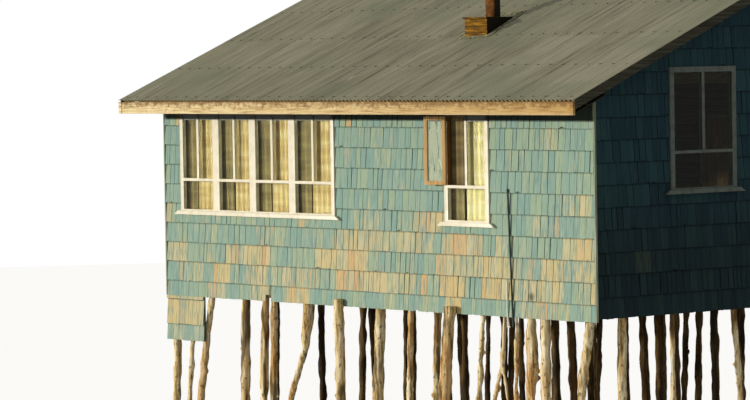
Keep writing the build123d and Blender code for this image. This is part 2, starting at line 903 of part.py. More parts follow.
# Chimney
slope_normal = (0, -sin(radians(roof_pitch)), cos(radians(roof_pitch)))
curb_front = abs(curb_y) + curb_length / 2
curb_top = sheet_level(curb_front) + curb_height
with BuildPart() as chimney_curb:
    with BuildSketch(Plane.XY.offset(curb_top)):
        with Locations((curb_x, curb_y)):
            Rectangle(curb_width, curb_length, rotation=curb_twist)
    extrude(amount=-2 * curb_height)
    split(
        bisect_by=Plane(origin=(0, -eave_y, crest_level(eave_y)), x_dir=(1, 0, 0), z_dir=slope_normal),
        keep=Keep.TOP,
    )
    with BuildSketch(Plane.XY.offset(curb_top - lid_thickness)):
        with Locations((curb_x, curb_y - curb_length / 2 + lid_length / 2 - lid_reach)):
            Rectangle(curb_width + 2 * lid_reach, lid_length, rotation=curb_twist)
    extrude(amount=lid_thickness)
chimney_curb.part.label = "chimney_curb"
export_step(chimney_curb.part, "parts/chimney_curb.step")

with BuildPart() as chimney_pipe:
    with BuildSketch(Plane.XY.offset(curb_top)):
        with Locations((curb_x, curb_y)):
            RegularPolygon(pipe_diameter / 2, chimney_sides)
            RegularPolygon(pipe_diameter / 2 - pipe_wall, chimney_sides, mode=Mode.SUBTRACT)
    extrude(amount=pipe_rise)
chimney_pipe.part.label = "chimney_pipe"
export_step(chimney_pipe.part, "parts/chimney_pipe.step")

pipe_top = curb_top + pipe_rise
cap_base = pipe_top + cap_gap
cap_taper = degrees(atan((cap_diameter - cap_point) / 2 / cap_height))
with BuildPart() as chimney_cap:
    for drop, mode in ((0, Mode.ADD), (pipe_wall, Mode.SUBTRACT)):
        with BuildSketch(Plane.XY.offset(cap_base - drop)):
            with Locations((curb_x, curb_y)):
                RegularPolygon(cap_diameter / 2, cap_folds)
        extrude(amount=cap_height, taper=cap_taper, mode=mode)
    with BuildSketch(Plane.XY.offset(pipe_top - cap_gap)):
        with Locations((curb_x, curb_y)):
            with PolarLocations(pipe_diameter / 2 + pipe_wall / 2, cap_straps):
                Rectangle(pipe_wall, cap_strap)
    extrude(amount=2 * cap_gap + cap_height * (1 - pipe_diameter / cap_diameter))
chimney_cap.part.label = "chimney_cap"
export_step(chimney_cap.part, "parts/chimney_cap.step")

# Thin waste pipe that leans down the front wall, and a short drain beside its foot
pipe_foot_x = house_length / 2 - waste_pipe_offset
pipe_foot = skirt_level - waste_pipe_drop
with BuildPart() as waste_pipe:
    pipe_y = -front_face - waste_pipe_diameter / 2
    pipe_head_x = pipe_foot_x - waste_pipe_lean
    sections = []
    for x, z in ((pipe_foot_x, pipe_foot), (pipe_head_x, skirt_level + waste_pipe_head)):
        with BuildSketch(Plane.XY.offset(z)) as section:
            with Locations((x, pipe_y)):
                RegularPolygon(waste_pipe_diameter / 2, pipe_sides)
        sections.append(section.sketch)
    loft(sections, ruled=True)
waste_pipe.part.label = "waste_pipe"
export_step(waste_pipe.part, "parts/waste_pipe.step")

drain_x = pipe_foot_x - drain_spacing
drain_y = -front_face - drain_diameter / 2
with BuildPart() as drain_pipe:
    with BuildSketch(Plane.XY.offset(pipe_foot)):
        with Locations((drain_x, drain_y)):
            RegularPolygon(drain_diameter / 2, pipe_sides)
    extrude(amount=waste_pipe_drop + drain_head)
    with BuildSketch(Plane.YZ.offset(drain_x)):
        with Locations((drain_y, pipe_foot)):
            RegularPolygon(drain_diameter / 2, pipe_sides)
    extrude(amount=drain_hook)
drain_pipe.part.label = "drain_pipe"
export_step(drain_pipe.part, "parts/drain_pipe.step")

# Curtains on rods that span the reveals of the front windows, close behind the frames
rod_y = -front_face - frame_proud + frame_depth + curtain_setback
with BuildPart() as curtain_rods:
    for left, _, right, top in (band_opening, small_opening):
        with BuildSketch(Plane.YZ.offset(left)):
            with Locations((rod_y, top - rod_drop)):
                RegularPolygon(rod_diameter / 2, pipe_sides)
        extrude(amount=right - left)
curtain_rods.part.label = "curtain_rods"
export_step(curtain_rods.part, "parts/curtain_rods.step")

with BuildPart() as front_curtains:
    with BuildSketch(Plane.XZ.offset(-rod_y - curtain_thickness / 2)):
        for opening, bays in ((band_opening, band_low), (small_opening, small_low)):
            curtain_top = opening[3] - rod_drop - rod_diameter / 2 - seat
            for left, _, right, _ in bays:
                side_end = left + (right - left) * side_curtain_cover
                lace_start = right - (right - left) * curtain_cover
                area((left - curtain_lap, opening[1], side_end, curtain_top))
                area((lace_start, opening[1], right + curtain_lap, curtain_top))
    extrude(amount=curtain_thickness)
front_curtains.part.label = "front_curtains"
export_step(front_curtains.part, "parts/front_curtains.step")
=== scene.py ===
# %% [markdown]
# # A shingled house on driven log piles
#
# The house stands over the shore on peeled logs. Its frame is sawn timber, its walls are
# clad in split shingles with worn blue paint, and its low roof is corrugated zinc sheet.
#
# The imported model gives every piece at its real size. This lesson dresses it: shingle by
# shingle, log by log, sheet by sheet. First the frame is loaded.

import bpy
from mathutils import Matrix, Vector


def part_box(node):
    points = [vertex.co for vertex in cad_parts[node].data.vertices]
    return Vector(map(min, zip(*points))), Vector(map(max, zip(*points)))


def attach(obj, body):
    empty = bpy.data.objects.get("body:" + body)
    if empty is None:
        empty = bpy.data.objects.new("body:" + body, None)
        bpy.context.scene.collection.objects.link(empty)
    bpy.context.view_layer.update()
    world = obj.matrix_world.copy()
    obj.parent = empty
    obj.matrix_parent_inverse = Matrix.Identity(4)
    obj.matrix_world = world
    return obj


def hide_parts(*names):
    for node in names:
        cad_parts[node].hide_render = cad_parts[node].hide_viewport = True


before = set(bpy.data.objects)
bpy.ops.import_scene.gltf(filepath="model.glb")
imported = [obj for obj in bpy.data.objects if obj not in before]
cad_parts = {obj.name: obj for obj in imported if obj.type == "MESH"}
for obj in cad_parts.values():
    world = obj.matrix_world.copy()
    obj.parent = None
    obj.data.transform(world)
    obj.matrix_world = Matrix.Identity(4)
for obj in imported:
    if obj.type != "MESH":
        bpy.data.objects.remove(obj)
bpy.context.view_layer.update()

# %% Modules used all through
import math
import random

import bpy
from mathutils import Matrix, Vector

# %% [markdown]
# ## The camera
#
# The house is seen from far off with a long lens, from a little above its eaves and well
# round to the right, so both the long front and the right gable show. A camera can be
# placed by a point that it looks at, a compass angle, a height angle and a distance. That
# way is used here because each number can be corrected on its own. The horizon leans by
# about a degree, so the camera is rolled a little.

# %% Camera
camera_target = (0.205, -3.300, 4.320)
camera_azimuth = math.radians(50.4428)
camera_elevation = math.radians(2.2846)
camera_roll = math.radians(-0.9718)
camera_distance = 49.22
lens_length = 180.9
farthest_seen = 1000


def new_object(name, data):
    """Put an object with some data into the scene."""
    made = bpy.data.objects.new(name, data)
    bpy.context.scene.collection.objects.link(made)
    return made


camera_data = bpy.data.cameras.new("camera")
camera_data.lens = lens_length
camera_data.clip_end = farthest_seen
camera = new_object("camera", camera_data)
camera.matrix_world = (
    Matrix.Translation(camera_target)
    @ Matrix.Rotation(camera_azimuth, 4, "Z")
    @ Matrix.Rotation(math.pi / 2 - camera_elevation, 4, "X")
    @ Matrix.Rotation(camera_roll, 4, "Z")
    @ Matrix.Translation((0, 0, camera_distance))
)
bpy.context.scene.camera = camera
print("camera at", [round(v, 2) for v in camera.matrix_world.translation])

# %% [markdown]
# ## Nodes and colours
#
# Every finish below is a small net of nodes. A colour is easiest to think about as it
# looks on a screen, in hex, but the shader wants linear light, so one function turns the
# one into the other. Another adds a node and fills its sockets, from a list in their order
# or by name, each with a number, a colour or another node. A third lays one colour over
# another as some value grows. With these, a finish reads as a list of what it is made of.

# %% Colour and node helpers
def tone(colour):
    """A screen colour such as #8fb0a8 as linear light, with full alpha."""
    channels = [int(colour[i : i + 2], 16) / 255 for i in (1, 3, 5)]
    linear = [c / 12.92 if c <= 0.04045 else ((c + 0.055) / 1.055) ** 2.4 for c in channels]
    return (*linear, 1)


def plug(node, sockets):
    """Fill sockets, in order or by name, with numbers, hex colours, outputs or nodes.

    A node stands for its first working output.
    """
    for key, value in sockets.items() if isinstance(sockets, dict) else enumerate(sockets):
        if isinstance(value, str):
            value = tone(value)
        if isinstance(value, bpy.types.Node):
            value = next(output for output in value.outputs if output.enabled)
        if isinstance(value, bpy.types.NodeSocket):
            node.id_data.links.new(value, node.inputs[key])
        else:
            node.inputs[key].default_value = value


def add(tree, kind, sockets=(), stops=(), **settings):
    """Add one node with its own settings, what goes into its sockets, and the stops of a colour ramp."""
    made = tree.nodes.new("ShaderNode" + kind)
    for key, value in settings.items():
        setattr(made, key, value)
    plug(made, sockets)
    stops = list(stops)
    if stops:
        ramp = made.color_ramp.elements
        ramp[0].position, ramp[-1].position = 0, 1
        while len(ramp) < len(stops):
            ramp.new(0.5)
        for element, (position, colour) in zip(ramp, stops):
            element.position = position
            element.color = tone(colour)
    return made


# A Mix node covers one colour with another, or stains it by multiplying the two.
cover = {"data_type": "RGBA"}
stain = {"data_type": "RGBA", "blend_type": "MULTIPLY"}


def new_finish(name, sockets=()):
    """A material with even values on its shader: also its node tree, shader and object coordinates."""
    material = bpy.data.materials.new(name)
    material.use_nodes = True
    tree = material.node_tree
    shader = tree.nodes["Principled BSDF"]
    plug(shader, sockets)
    return material, tree, shader, add(tree, "TexCoord").outputs["Object"]


def layer(tree, colour, other, value, start, full, share=1, how=cover):
    """Lay another colour over one: none of it where a value is at start, and a share where it is full."""
    mask = add(tree, "MapRange", [value, start, full, 0, share])
    return add(tree, "Mix", {0: mask, 6: colour, 7: other}, **how)


print("a pale wood in linear light:", [round(c, 3) for c in tone("#c8af7b")])

# %% [markdown]
# ## Floor, light and background
#
# A plain pale floor and soft light show a model best. The world is white wherever a camera
# looks at it directly or through glass. It lights the house at a lower, even level, and
# stands darker in the panes, as a shore full of houses would. One soft lamp stands low at
# the left of the front. It rakes over the shingles, throws the shadow of the eave on the
# wall just below the fascia, and leaves the gable in shade.

# %% Floor and lights
floor_radius = 62
floor_lift = 0.58
sky_level = 0.33
mirrored_level = 0.13
key_level = 2.7
key_warmth = (1.0, 0.95, 0.86)
key_softness = math.radians(2.5)
key_direction = Vector((-0.50, -0.86, 0.135))

bpy.ops.object.select_all(action="DESELECT")
bpy.ops.mesh.primitive_circle_add(vertices=96, radius=floor_radius, fill_type="NGON")
ground = bpy.context.object
ground.name = "studio_floor"
ground_finish, tree, shader, _ = new_finish("pale_studio_paint", {
    "Base Color": "#f1f0ec", "Roughness": 0.9, "Emission Color": "#ffffff"})
looked_at = add(tree, "LightPath").outputs["Is Camera Ray"]
plug(shader, {"Emission Strength": add(tree, "Math", [looked_at, floor_lift], operation="MULTIPLY")})
ground.data.materials.append(ground_finish)

key_data = bpy.data.lights.new("key", "SUN")
key_data.energy = key_level
key_data.angle = key_softness
key_data.color = key_warmth
key = new_object("key", key_data)
key.rotation_euler = key_direction.to_track_quat("Z", "Y").to_euler()

world = bpy.data.worlds.new("studio")
world.use_nodes = True
bpy.context.scene.world = world
tree = world.node_tree
tree.nodes.clear()
path = add(tree, "LightPath").outputs
bounces = add(tree, "Math", [path["Diffuse Depth"], path["Glossy Depth"]], operation="ADD")
unscattered = add(tree, "Math", [bounces, 0.5], operation="LESS_THAN")
through = add(tree, "Math", [path["Is Transmission Ray"], unscattered], operation="MULTIPLY")
seen = add(tree, "Math", [path["Is Camera Ray"], through], operation="MAXIMUM")
unseen = add(tree, "MapRange", [path["Glossy Depth"], 0, 1, sky_level, mirrored_level])
level = add(tree, "MapRange", [seen, 0, 1, unseen])
sky = add(tree, "Background", {"Color": "#ffffff", "Strength": level})
add(tree, "OutputWorld", {"Surface": sky})
bpy.context.scene.view_settings.view_transform = "Standard"
print("sky", sky_level, "key", key_level)

# %% [markdown]
# ## Working in edit mode from a script
#
# The pieces are modelled with the same tools that a hand would use. An operator acts on
# everything that is selected, so each piece is taken up alone, and its faces or edges are
# chosen by where they lie.

# %% Selection helpers
def put_down():
    """Leave edit mode and select nothing."""
    if bpy.context.object and bpy.context.object.mode != "OBJECT":
        bpy.ops.object.mode_set(mode="OBJECT")
    bpy.ops.object.select_all(action="DESELECT")


def take_up(piece):
    """Select one piece alone, as the active one."""
    put_down()
    piece.select_set(True)
    bpy.context.view_layer.objects.active = piece


def open_up(piece):
    """Take a piece up in edit mode, with all of it selected."""
    take_up(piece)
    bpy.ops.object.mode_set(mode="EDIT")
    bpy.ops.mesh.select_all(action="SELECT")


def name_new(name):
    """Name the primitive that was just added and move its place into its mesh."""
    piece = bpy.context.object
    piece.name = name
    piece.data.name = name
    bpy.ops.object.transform_apply(location=True, rotation=True, scale=True)
    return piece


def pick(piece, kind, wanted):
    """In edit mode, select the piece's VERT, EDGE or FACE parts whose middle passes a test."""
    if piece.mode != "EDIT":
        open_up(piece)
    bpy.ops.mesh.select_mode(type=kind)
    bpy.ops.mesh.select_all(action="DESELECT")
    bpy.ops.object.mode_set(mode="OBJECT")
    mesh = piece.data
    for part in {"VERT": mesh.vertices, "EDGE": mesh.edges, "FACE": mesh.polygons}[kind]:
        corners = [part.index] if kind == "VERT" else part.vertices
        part.select = wanted(sum((mesh.vertices[i].co for i in corners), Vector()) / len(corners))
    bpy.ops.object.mode_set(mode="EDIT")


def modify(piece, kind, **settings):
    """Add a modifier to a piece and apply it."""
    take_up(piece)
    modifier = piece.modifiers.new(kind.lower(), kind)
    for key, value in settings.items():
        setattr(modifier, key, value)
    bpy.ops.object.modifier_apply(modifier=modifier.name)


def smooth(piece, angle):
    """Shade a piece smooth, apart from edges sharper than so many degrees."""
    take_up(piece)
    bpy.ops.object.shade_smooth_by_angle(angle=math.radians(angle))


def lay(original, name, place):
    """A copy of a piece with its own mesh, carried to its place."""
    copy = new_object(name, original.data.copy())
    copy.data.transform(place)
    return copy


def joined(name, pieces):
    """Join pieces that share a finish into the first, and name it."""
    take_up(pieces[0])
    for piece in pieces:
        piece.select_set(True)
    bpy.ops.object.join()
    pieces[0].name = name
    return pieces[0]


def settle(piece, slot, finish, *nodes):
    """Give a finished piece its material, its body and the nodes that it stands for."""
    put_down()
    piece.data.materials.clear()
    piece.data.materials.append(finish)
    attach(piece, "root")
    if nodes:
        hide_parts(*nodes)
    triangles = sum(len(face.vertices) - 2 for face in piece.data.polygons)
    print(f"{piece.name}: {triangles} triangles")
    return piece


print("helpers ready")

# %% [markdown]
# ## Paint on split shingles
#
# The shingles are split from straight-grained timber, so paint lies thin along their
# ridges and wears off there first. What stays is a chalky turquoise, and cream or tan wood
# shows between. A split face has ridges 15 to 25 mm wide that run up and down, and the wear
# follows them in streaks. Just under the eave a dark band is painted as the eave's shadow,
# and the gable is painted darker and less blue towards its foot as shade.
#
# Each shingle carries three marks of its own: how its paint is mixed, how bare it is, and
# how far each point lies below the butt of the next course, where a line of painted shadow
# darkens it.

# %% Painted shingle finish
streak_width = 0.020
streak_length = 0.30
# Painted eave shadow: a dark band on the wall just below the eave's level.
eave_shadow_reach = 0.03
eave_shadow_level = 5.378
smudge_place = (3.224, -3.3, 3.171)
smudge_radius = 0.080
foot_shade_height = 4.75
foot_shade_reach = 1.1


def painted_wood(name, paints, woods, eave_shadow_top, foot_shade_tint=None):
    """Chalky paint worn off split wood along its grain, with a painted eave shadow just under the eave,
    painted shadow under each butt, and painted shade towards the foot.
    """
    material, tree, shader, place = new_finish(name, {"Roughness": 0.82, "Specular IOR Level": 0.25})
    mixed, bare, below = (
        add(tree, "Attribute", attribute_name=mark).outputs for mark in ("mix", "bare", "below"))
    stretch = add(tree, "Mapping", {
        "Vector": place, "Scale": (1 / streak_width, 1 / streak_width, 1 / streak_length)})
    offset = add(tree, "VectorMath", {0: mixed["Vector"], "Scale": 37.0}, operation="SCALE")
    own_place = add(tree, "VectorMath", [stretch, offset], operation="ADD")
    streaks = add(tree, "TexNoise", {"Vector": own_place, "Scale": 1.0, "Detail": 3.0, "Roughness": 0.6})
    paint = add(tree, "ValToRGB", {"Fac": mixed["Fac"]}, zip((0.0, 0.35, 0.7, 1.0), paints))
    spread = add(tree, "Math", [mixed["Fac"], 7.31], operation="MULTIPLY")
    chance = add(tree, "Math", [spread], operation="FRACT")
    wood = add(tree, "ValToRGB", {"Fac": chance}, zip((0.0, 0.55, 0.85, 1.0), woods))
    worn = add(tree, "Math", [streaks, bare["Fac"]], operation="ADD")
    colour = layer(tree, paint, wood, worn, 0.60, 0.88, 0.9)
    shade = add(tree, "MapRange", [streaks, 0.30, 0.50, 0.74])
    # Painted shadow under the butt of each course.
    butt_shadow = add(tree, "MapRange", [below["Fac"], 0.004, 0.022, 0.48])
    height = add(tree, "SeparateXYZ", [place]).outputs["Z"]
    # Painted eave shadow, darkest just under the eave.
    eave_shade = add(tree, "MapRange", [height, eave_shadow_top - eave_shadow_reach, eave_shadow_top, 1.0, 0.12])
    aside = add(tree, "VectorMath", [place, smudge_place], operation="DISTANCE")
    smudge = add(tree, "MapRange", [aside, 0.02, smudge_radius, 0.3])
    for dirt_and_shade in (butt_shadow, eave_shade, smudge):
        shade = add(tree, "Math", [shade, dirt_and_shade], operation="MULTIPLY")
    shaded = add(tree, "Mix", {0: 1.0, 6: colour, 7: shade}, **stain)
    # Painted shade: darker and less blue towards the foot of the gable.
    if foot_shade_tint:
        shaded = layer(tree, shaded, foot_shade_tint, height, foot_shade_height, foot_shade_height - foot_shade_reach, how=stain)
    relief = add(tree, "Bump", {"Height": streaks, "Strength": 0.5, "Distance": 0.003})
    plug(shader, {"Base Color": shaded, "Normal": relief})
    return material


turquoise_paint = painted_wood(
    "worn_turquoise_paint_on_split_wood",
    ["#86a59b", "#8daa9d", "#94ad9a", "#9db296"],
    ["#cfc298", "#d2bc84", "#d6b57e", "#d6a975"],
    eave_shadow_level,
)
# A deeper blue, with the paint and the bare wood painted darker as shade.
deep_blue_and_shaded_paint = painted_wood(
    "deep_blue_paint_darkened_as_shade_on_split_wood",
    ["#1e3a45", "#22414a", "#25454a", "#2a4b4f"],
    ["#2c4a50", "#30504f", "#3a5650", "#445b51"],
    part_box("right_gable_shingles")[1].z,
    "#e9d4c9",
)
print("painted finishes ready")

# %% [markdown]
# ## The shingle blanks
#
# A shingle is a thin split board, thicker at its butt, about 105 mm wide. Four blanks are
# modelled: a plain one, a skewed one, a hollow one and one with a split. Each starts as a
# cube of the right size. Its head is thinned, its face gets a low crown, and its outer
# edges are bevelled as wear would round them.

# %% Shingle blanks
shingle_width = 0.105
shingle_length = 0.34
butt_thickness = 0.012
head_thickness = 0.005
crown = 0.0015
edge_wear = 0.0015


def block(name, low, high):
    """A cube added at the size and place that two corners give."""
    low, high = Vector(low), Vector(high)
    put_down()
    bpy.ops.mesh.primitive_cube_add(size=1, location=(low + high) / 2, scale=high - low)
    return name_new(name)


def shingle_blank(name, skew, split):
    """One split shingle: butt at z = 0, back at y = 0, outer face towards +y."""
    blank = block(name, (-shingle_width / 2, 0, 0), (shingle_width / 2, butt_thickness, shingle_length))
    pick(blank, "FACE", lambda p: p.z > shingle_length * 0.9)
    bpy.ops.transform.resize(value=(1, head_thickness / butt_thickness, 1))
    bpy.ops.transform.translate(value=(0, (head_thickness - butt_thickness) / 2, 0))
    pick(blank, "EDGE", lambda p: abs(p.x) < 0.001)
    bpy.ops.mesh.subdivide(number_cuts=1)
    pick(blank, "VERT", lambda p: abs(p.x) < 0.001 and p.y > head_thickness * 0.9)
    bpy.ops.transform.translate(value=(0, crown, 0))
    pick(blank, "VERT", lambda p: p.z < 0.001 and p.x > 0.01)
    bpy.ops.transform.translate(value=(0, 0, skew))
    if split:
        pick(blank, "VERT", lambda p: abs(p.x) < 0.001 and p.z < 0.01)
        bpy.ops.transform.translate(value=(0.008, -0.001, split))
    pick(blank, "EDGE", lambda p: p.y > head_thickness * 0.9 and (
        p.z < 0.03 or abs(p.x) > shingle_width * 0.4))
    bpy.ops.mesh.bevel(offset=edge_wear, segments=1)
    put_down()
    for label in ("mix", "bare", "below"):
        blank.data.attributes.new(label, "FLOAT", "POINT")
    return blank


blanks = [
    shingle_blank("plain_shingle", 0, 0),
    shingle_blank("skewed_shingle", 0.003, 0),
    shingle_blank("hollow_shingle", -0.003, 0.002),
    shingle_blank("split_shingle", 0.001, 0.020),
]
print("faces of a blank:", len(blanks[0].data.polygons))

# %% [markdown]
# ## Laying a course
#
# Shingles go on from the bottom up. Each course covers the head of the one below and
# leaves about 270 mm to the weather, and the lowest a little less. Widths differ because
# the boards are split and not sawn. Where a course meets a window, the shingles under it
# are cut short at the sill, and those above it start at the head of the frame.
#
# The first function decides where every shingle goes. The last one makes each place a
# matrix: it sets the width and length, leans the shingle so that its butt stands proud,
# turns it a little, and carries it to the wall.

# %% Places for a wall of shingles
long_courses = (0.215, 0.270)
gable_courses = (0.262, 0.276)
patch_courses = (0.225, 0.350)
shingle_depth = 0.030
course_lean = 0.014 / long_courses[1]
least_strip = 0.035
least_width, last_width = 0.012, 0.05
split_widths = (0.075, 0.150)
butt_drops, butt_turn = (-0.004, 0.003), 0.008
joint_gaps = (0.002, 0.003, 0.004, 0.013)
blank_shares = (6, 3, 3, 0.3)

core_low, core_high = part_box("floor")


def shingle_places(rng, start, end, bottom, top, courses, openings, bareness):
    """Yield (along, width, butt level, head level, next butt level, bareness) for each shingle of a wall."""
    butt, exposure = bottom, courses[0]
    while butt < top - least_strip:
        along = start
        while along < end - 0.001:
            width = min(rng.uniform(*split_widths), end - along)
            if end - along - width < last_width:
                width = end - along
            level = butt
            head = min(butt + shingle_length, top)
            for left, sill, right, lintel in openings:
                if along < left < along + width:
                    width = left - along
                elif along < right < along + width:
                    width = right - along
                if left < along + width / 2 < right and butt < lintel and butt + shingle_length > sill:
                    if butt < sill:
                        head = min(head, sill)
                    else:
                        level = lintel
            if level < butt + exposure - 0.01 and head - level > least_strip and width > least_width:
                yield along, width, level, head, butt + exposure, bareness(rng, along + width / 2, level)
            along += width
        butt, exposure = butt + exposure, courses[1]


def mark(piece, name, values):
    """Fill a mark of a piece with a list, or all over with one value."""
    data = piece.data.attributes[name].data
    data.foreach_set("value", values if isinstance(values, list) else [values] * len(data))


def clad(name, seed, outward, span, levels, courses, openings, bareness):
    """Copy the blanks to their places on the wall that faces outward, and join them."""
    rng = random.Random(seed)
    outward = Vector(outward)
    # The wall runs along the level axis that it doesn't face.
    wall = Matrix(([abs(c) for c in outward.yxz], outward, (0, 0, 1))).transposed().to_4x4()
    wall.translation = outward * core_high
    places = list(shingle_places(rng, *span, *levels, courses, openings, bareness))
    lowest = min(place[2] for place in places)
    pieces = []
    for along, width, level, head, next_butt, bare in places:
        kind = rng.choices(blanks, blank_shares)[0]
        length = head - level
        gap = rng.choice(joint_gaps) if level > lowest else joint_gaps[0]
        shape = Matrix((
            ((width - gap) / shingle_width, 0, 0, 0),
            (0, 1, -course_lean * length / shingle_length, 0),
            (0, 0, length / shingle_length, 0),
            (0, 0, 0, 1),
        ))
        if rng.random() < 0.5:
            shape = shape @ Matrix.Diagonal((-1, 1, 1, 1))
        drop = rng.uniform(*butt_drops) if length > 0.2 else 0
        stand = shingle_depth - butt_thickness + rng.uniform(-0.003, 0.0)
        turn = Matrix.Rotation(rng.uniform(-butt_turn, butt_turn), 4, "Y")
        place = wall @ Matrix.Translation((along + width / 2, stand, level + drop)) @ turn @ shape
        piece = lay(kind, name, place)
        if place.determinant() < 0:
            piece.data.flip_normals()
        mark(piece, "mix", rng.random())
        mark(piece, "bare", bare)
        mark(piece, "below", [next_butt - v.co.z for v in piece.data.vertices])
        pieces.append(piece)
    print("shingles in", name, len(pieces))
    return joined(name, pieces)


# %% [markdown]
# ## The front and its openings
#
# The front wall faces the low sun and the rain, so it is the most worn. The paint holds
# best under the eave, and the lower courses are half bare, most of all to the right of the
# small window. One shingle is missing at the lower edge, where the top of a pile shows.

# %% Front wall shingles
sill_height = 0.055
sill_reach = 0.120
notch_share = 0.262
notch_width = 0.110
notch_height = 0.085

clad_low, clad_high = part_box("front_shingles")
half_run = core_high.x
front_span = (-half_run, half_run)
skirt = clad_low.z


def opening_of(window):
    """A front window's opening as (left, sill, right, lintel), from the box of its frame."""
    low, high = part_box(window)
    return low.x + sill_reach, low.z + sill_height, high.x - sill_reach, high.z


band_opening = opening_of("band_window")
small_opening = opening_of("small_window")
house_length = 2 * clad_high.x + 2 * shingle_depth
notch_x = (notch_share - 0.5) * house_length
notch = (notch_x - notch_width / 2, skirt - 1, notch_x + notch_width / 2, skirt + notch_height)


def patchy(wear):
    """Bareness that comes in runs of neighbours: wear(along, level) is how worn the wall is, from 0 to 1."""
    left, bare = 0, 0

    def bareness(rng, along, level):
        nonlocal left, bare
        if left == 0:
            left = rng.randint(1, 5)
            bare = rng.uniform(0.10, 0.32) if rng.random() < wear(along, level) else rng.uniform(-0.05, 0.05)
        left -= 1
        return bare + 0.14 * wear(along, level) + rng.uniform(-0.08, 0.08)

    return bareness


def front_wear(x, z):
    """How worn the front is: more in the lower courses and at the right, less in the renewed lowest one."""
    low = max(0.0, 1.0 - 1.8 * (z - skirt) / (clad_high.z - skirt))
    rightward = (x + half_run) / (2 * half_run)
    renewed = 0.5 if z < skirt + long_courses[0] / 2 else 1.0
    return 0.02 + low * (0.60 + 0.25 * rightward) * renewed


front_cladding = clad(
    "front_wall_shingles", 11, (0, -1, 0), front_span, (skirt, clad_high.z), long_courses,
    [band_opening, small_opening, notch], patchy(front_wear))
settle(front_cladding, "blue_shingles", turquoise_paint, "front_shingles")

# %% [markdown]
# ## The other walls
#
# The right gable is the same work in a deeper blue that has kept its paint. Its blue and
# its bare wood are painted darker still as shade. Its shingles are laid past the slope of
# the roof and then cut along it with a bisect, which is what a saw does on the real wall.
# The left gable stood against a neighbour, so it is plain. The back repeats the front's
# paint, around two windows and a door. At the front's left corner a patch hangs lower,
# nailed to a board of its own.

# %% Gables, back and corner patch
window_width = 1.150
roof_pitch = math.radians(22.66)


def window_pair(node, axis):
    """The openings of the two windows that share a node, along the front (0) or a gable (1)."""
    low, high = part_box(node)
    first, last = low[axis] + sill_reach, high[axis] - sill_reach
    sill = low.z + sill_height
    return [(first, sill, first + window_width, high.z), (last - window_width, sill, last, high.z)]


def gable_cladding(name, seed, node, outward, openings):
    """Shingles of one gable wall, cut along both slopes of the roof."""
    low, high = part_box(node)
    cladding = clad(
        name, seed, (outward, 0, 0), (low.y, high.y), (low.z, high.z), gable_courses, openings,
        patchy(lambda along, level: 0.06))
    for side in (-1, 1):
        open_up(cladding)
        bpy.ops.mesh.bisect(
            plane_co=(0, 0, high.z), plane_no=(0, side * math.tan(roof_pitch), 1),
            use_fill=True, clear_outer=True)
    settle(cladding, "deep_blue_shingles", deep_blue_and_shaded_paint, node)


def board(name, low, high, edge, segments=1):
    """A board between two corners, with its edges bevelled."""
    made = block(name, low, high)
    bpy.ops.object.mode_set(mode="EDIT")
    bpy.ops.mesh.bevel(offset=edge, segments=segments)
    put_down()
    return made


gable_cladding("right_gable_wall_shingles", 23, "right_gable_shingles", 1, window_pair("gable_windows", 1))
gable_cladding("left_gable_wall_shingles", 29, "left_gable_shingles", -1, [])

door_low, door_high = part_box("back_door_frame")
door_opening = (door_low.x, door_low.z, door_high.x, door_high.z)
back_cladding = clad(
    "back_wall_shingles", 31, (0, 1, 0), front_span, (skirt, clad_high.z), long_courses,
    [*window_pair("back_windows", 0), door_opening], patchy(lambda along, level: 0.15))
settle(back_cladding, "blue_shingles", turquoise_paint, "back_shingles")

patch_low, patch_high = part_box("corner_patch")
patch_cladding = clad(
    "corner_patch_shingles", 37, (0, -1, 0), (patch_low.x, patch_high.x), (patch_low.z, skirt + 0.01),
    patch_courses, [],
    lambda rng, along, level: rng.uniform(0.24, 0.40) - 0.16 * (level < patch_low.z + 0.1))
patch_board = board("patch_board", (patch_low.x, core_low.y, patch_low.z), patch_high, 0.004, 2)
settle(patch_board, "blue_shingles", turquoise_paint)
settle(patch_cladding, "blue_shingles", turquoise_paint, "corner_patch")
for blank in blanks:
    bpy.data.objects.remove(blank)

# %% [markdown]
# ## Peeled logs
#
# The piles are young trees, peeled of their bark and driven in as they grew: crooked,
# knotty, some forked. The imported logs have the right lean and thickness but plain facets.
# A copy of them is taken, its loose triangles are merged, and knots are set into it as
# small cones. A voxel remesh melts the knots into the wood, one displacement makes the
# trunk gnarled and a second, stretched along the trunk, gives it its long ridges.

# %% Log helpers
knot_length = 0.075
knot_bases, knot_tips = (0.024, 0.036), (0.010, 0.018)
gnarl_depth, ridge_depth = 0.035, 0.022
ridge_stretch = 7


def copy_of(node, name):
    """A merged copy of a CAD node's mesh, as a piece to work on."""
    piece = lay(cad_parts[node], name, Matrix())
    open_up(piece)
    bpy.ops.mesh.remove_doubles(threshold=0.0002)
    put_down()
    return piece


def ripple(name, kind, **settings):
    """A procedural texture for a displacement."""
    texture = bpy.data.textures.new(name, kind)
    for key, value in settings.items():
        setattr(texture, key, value)
    return texture


def guide(name, scale):
    """An empty whose scale stretches a texture."""
    made = new_object(name, None)
    made.scale = scale
    return made


gnarl = ripple("gnarl", "CLOUDS", noise_scale=0.22, noise_depth=1)
ridges = ripple("ridges", "CLOUDS", noise_scale=0.035, noise_depth=2)
ridge_guide = guide("ridge_guide", (1, 1, ridge_stretch))


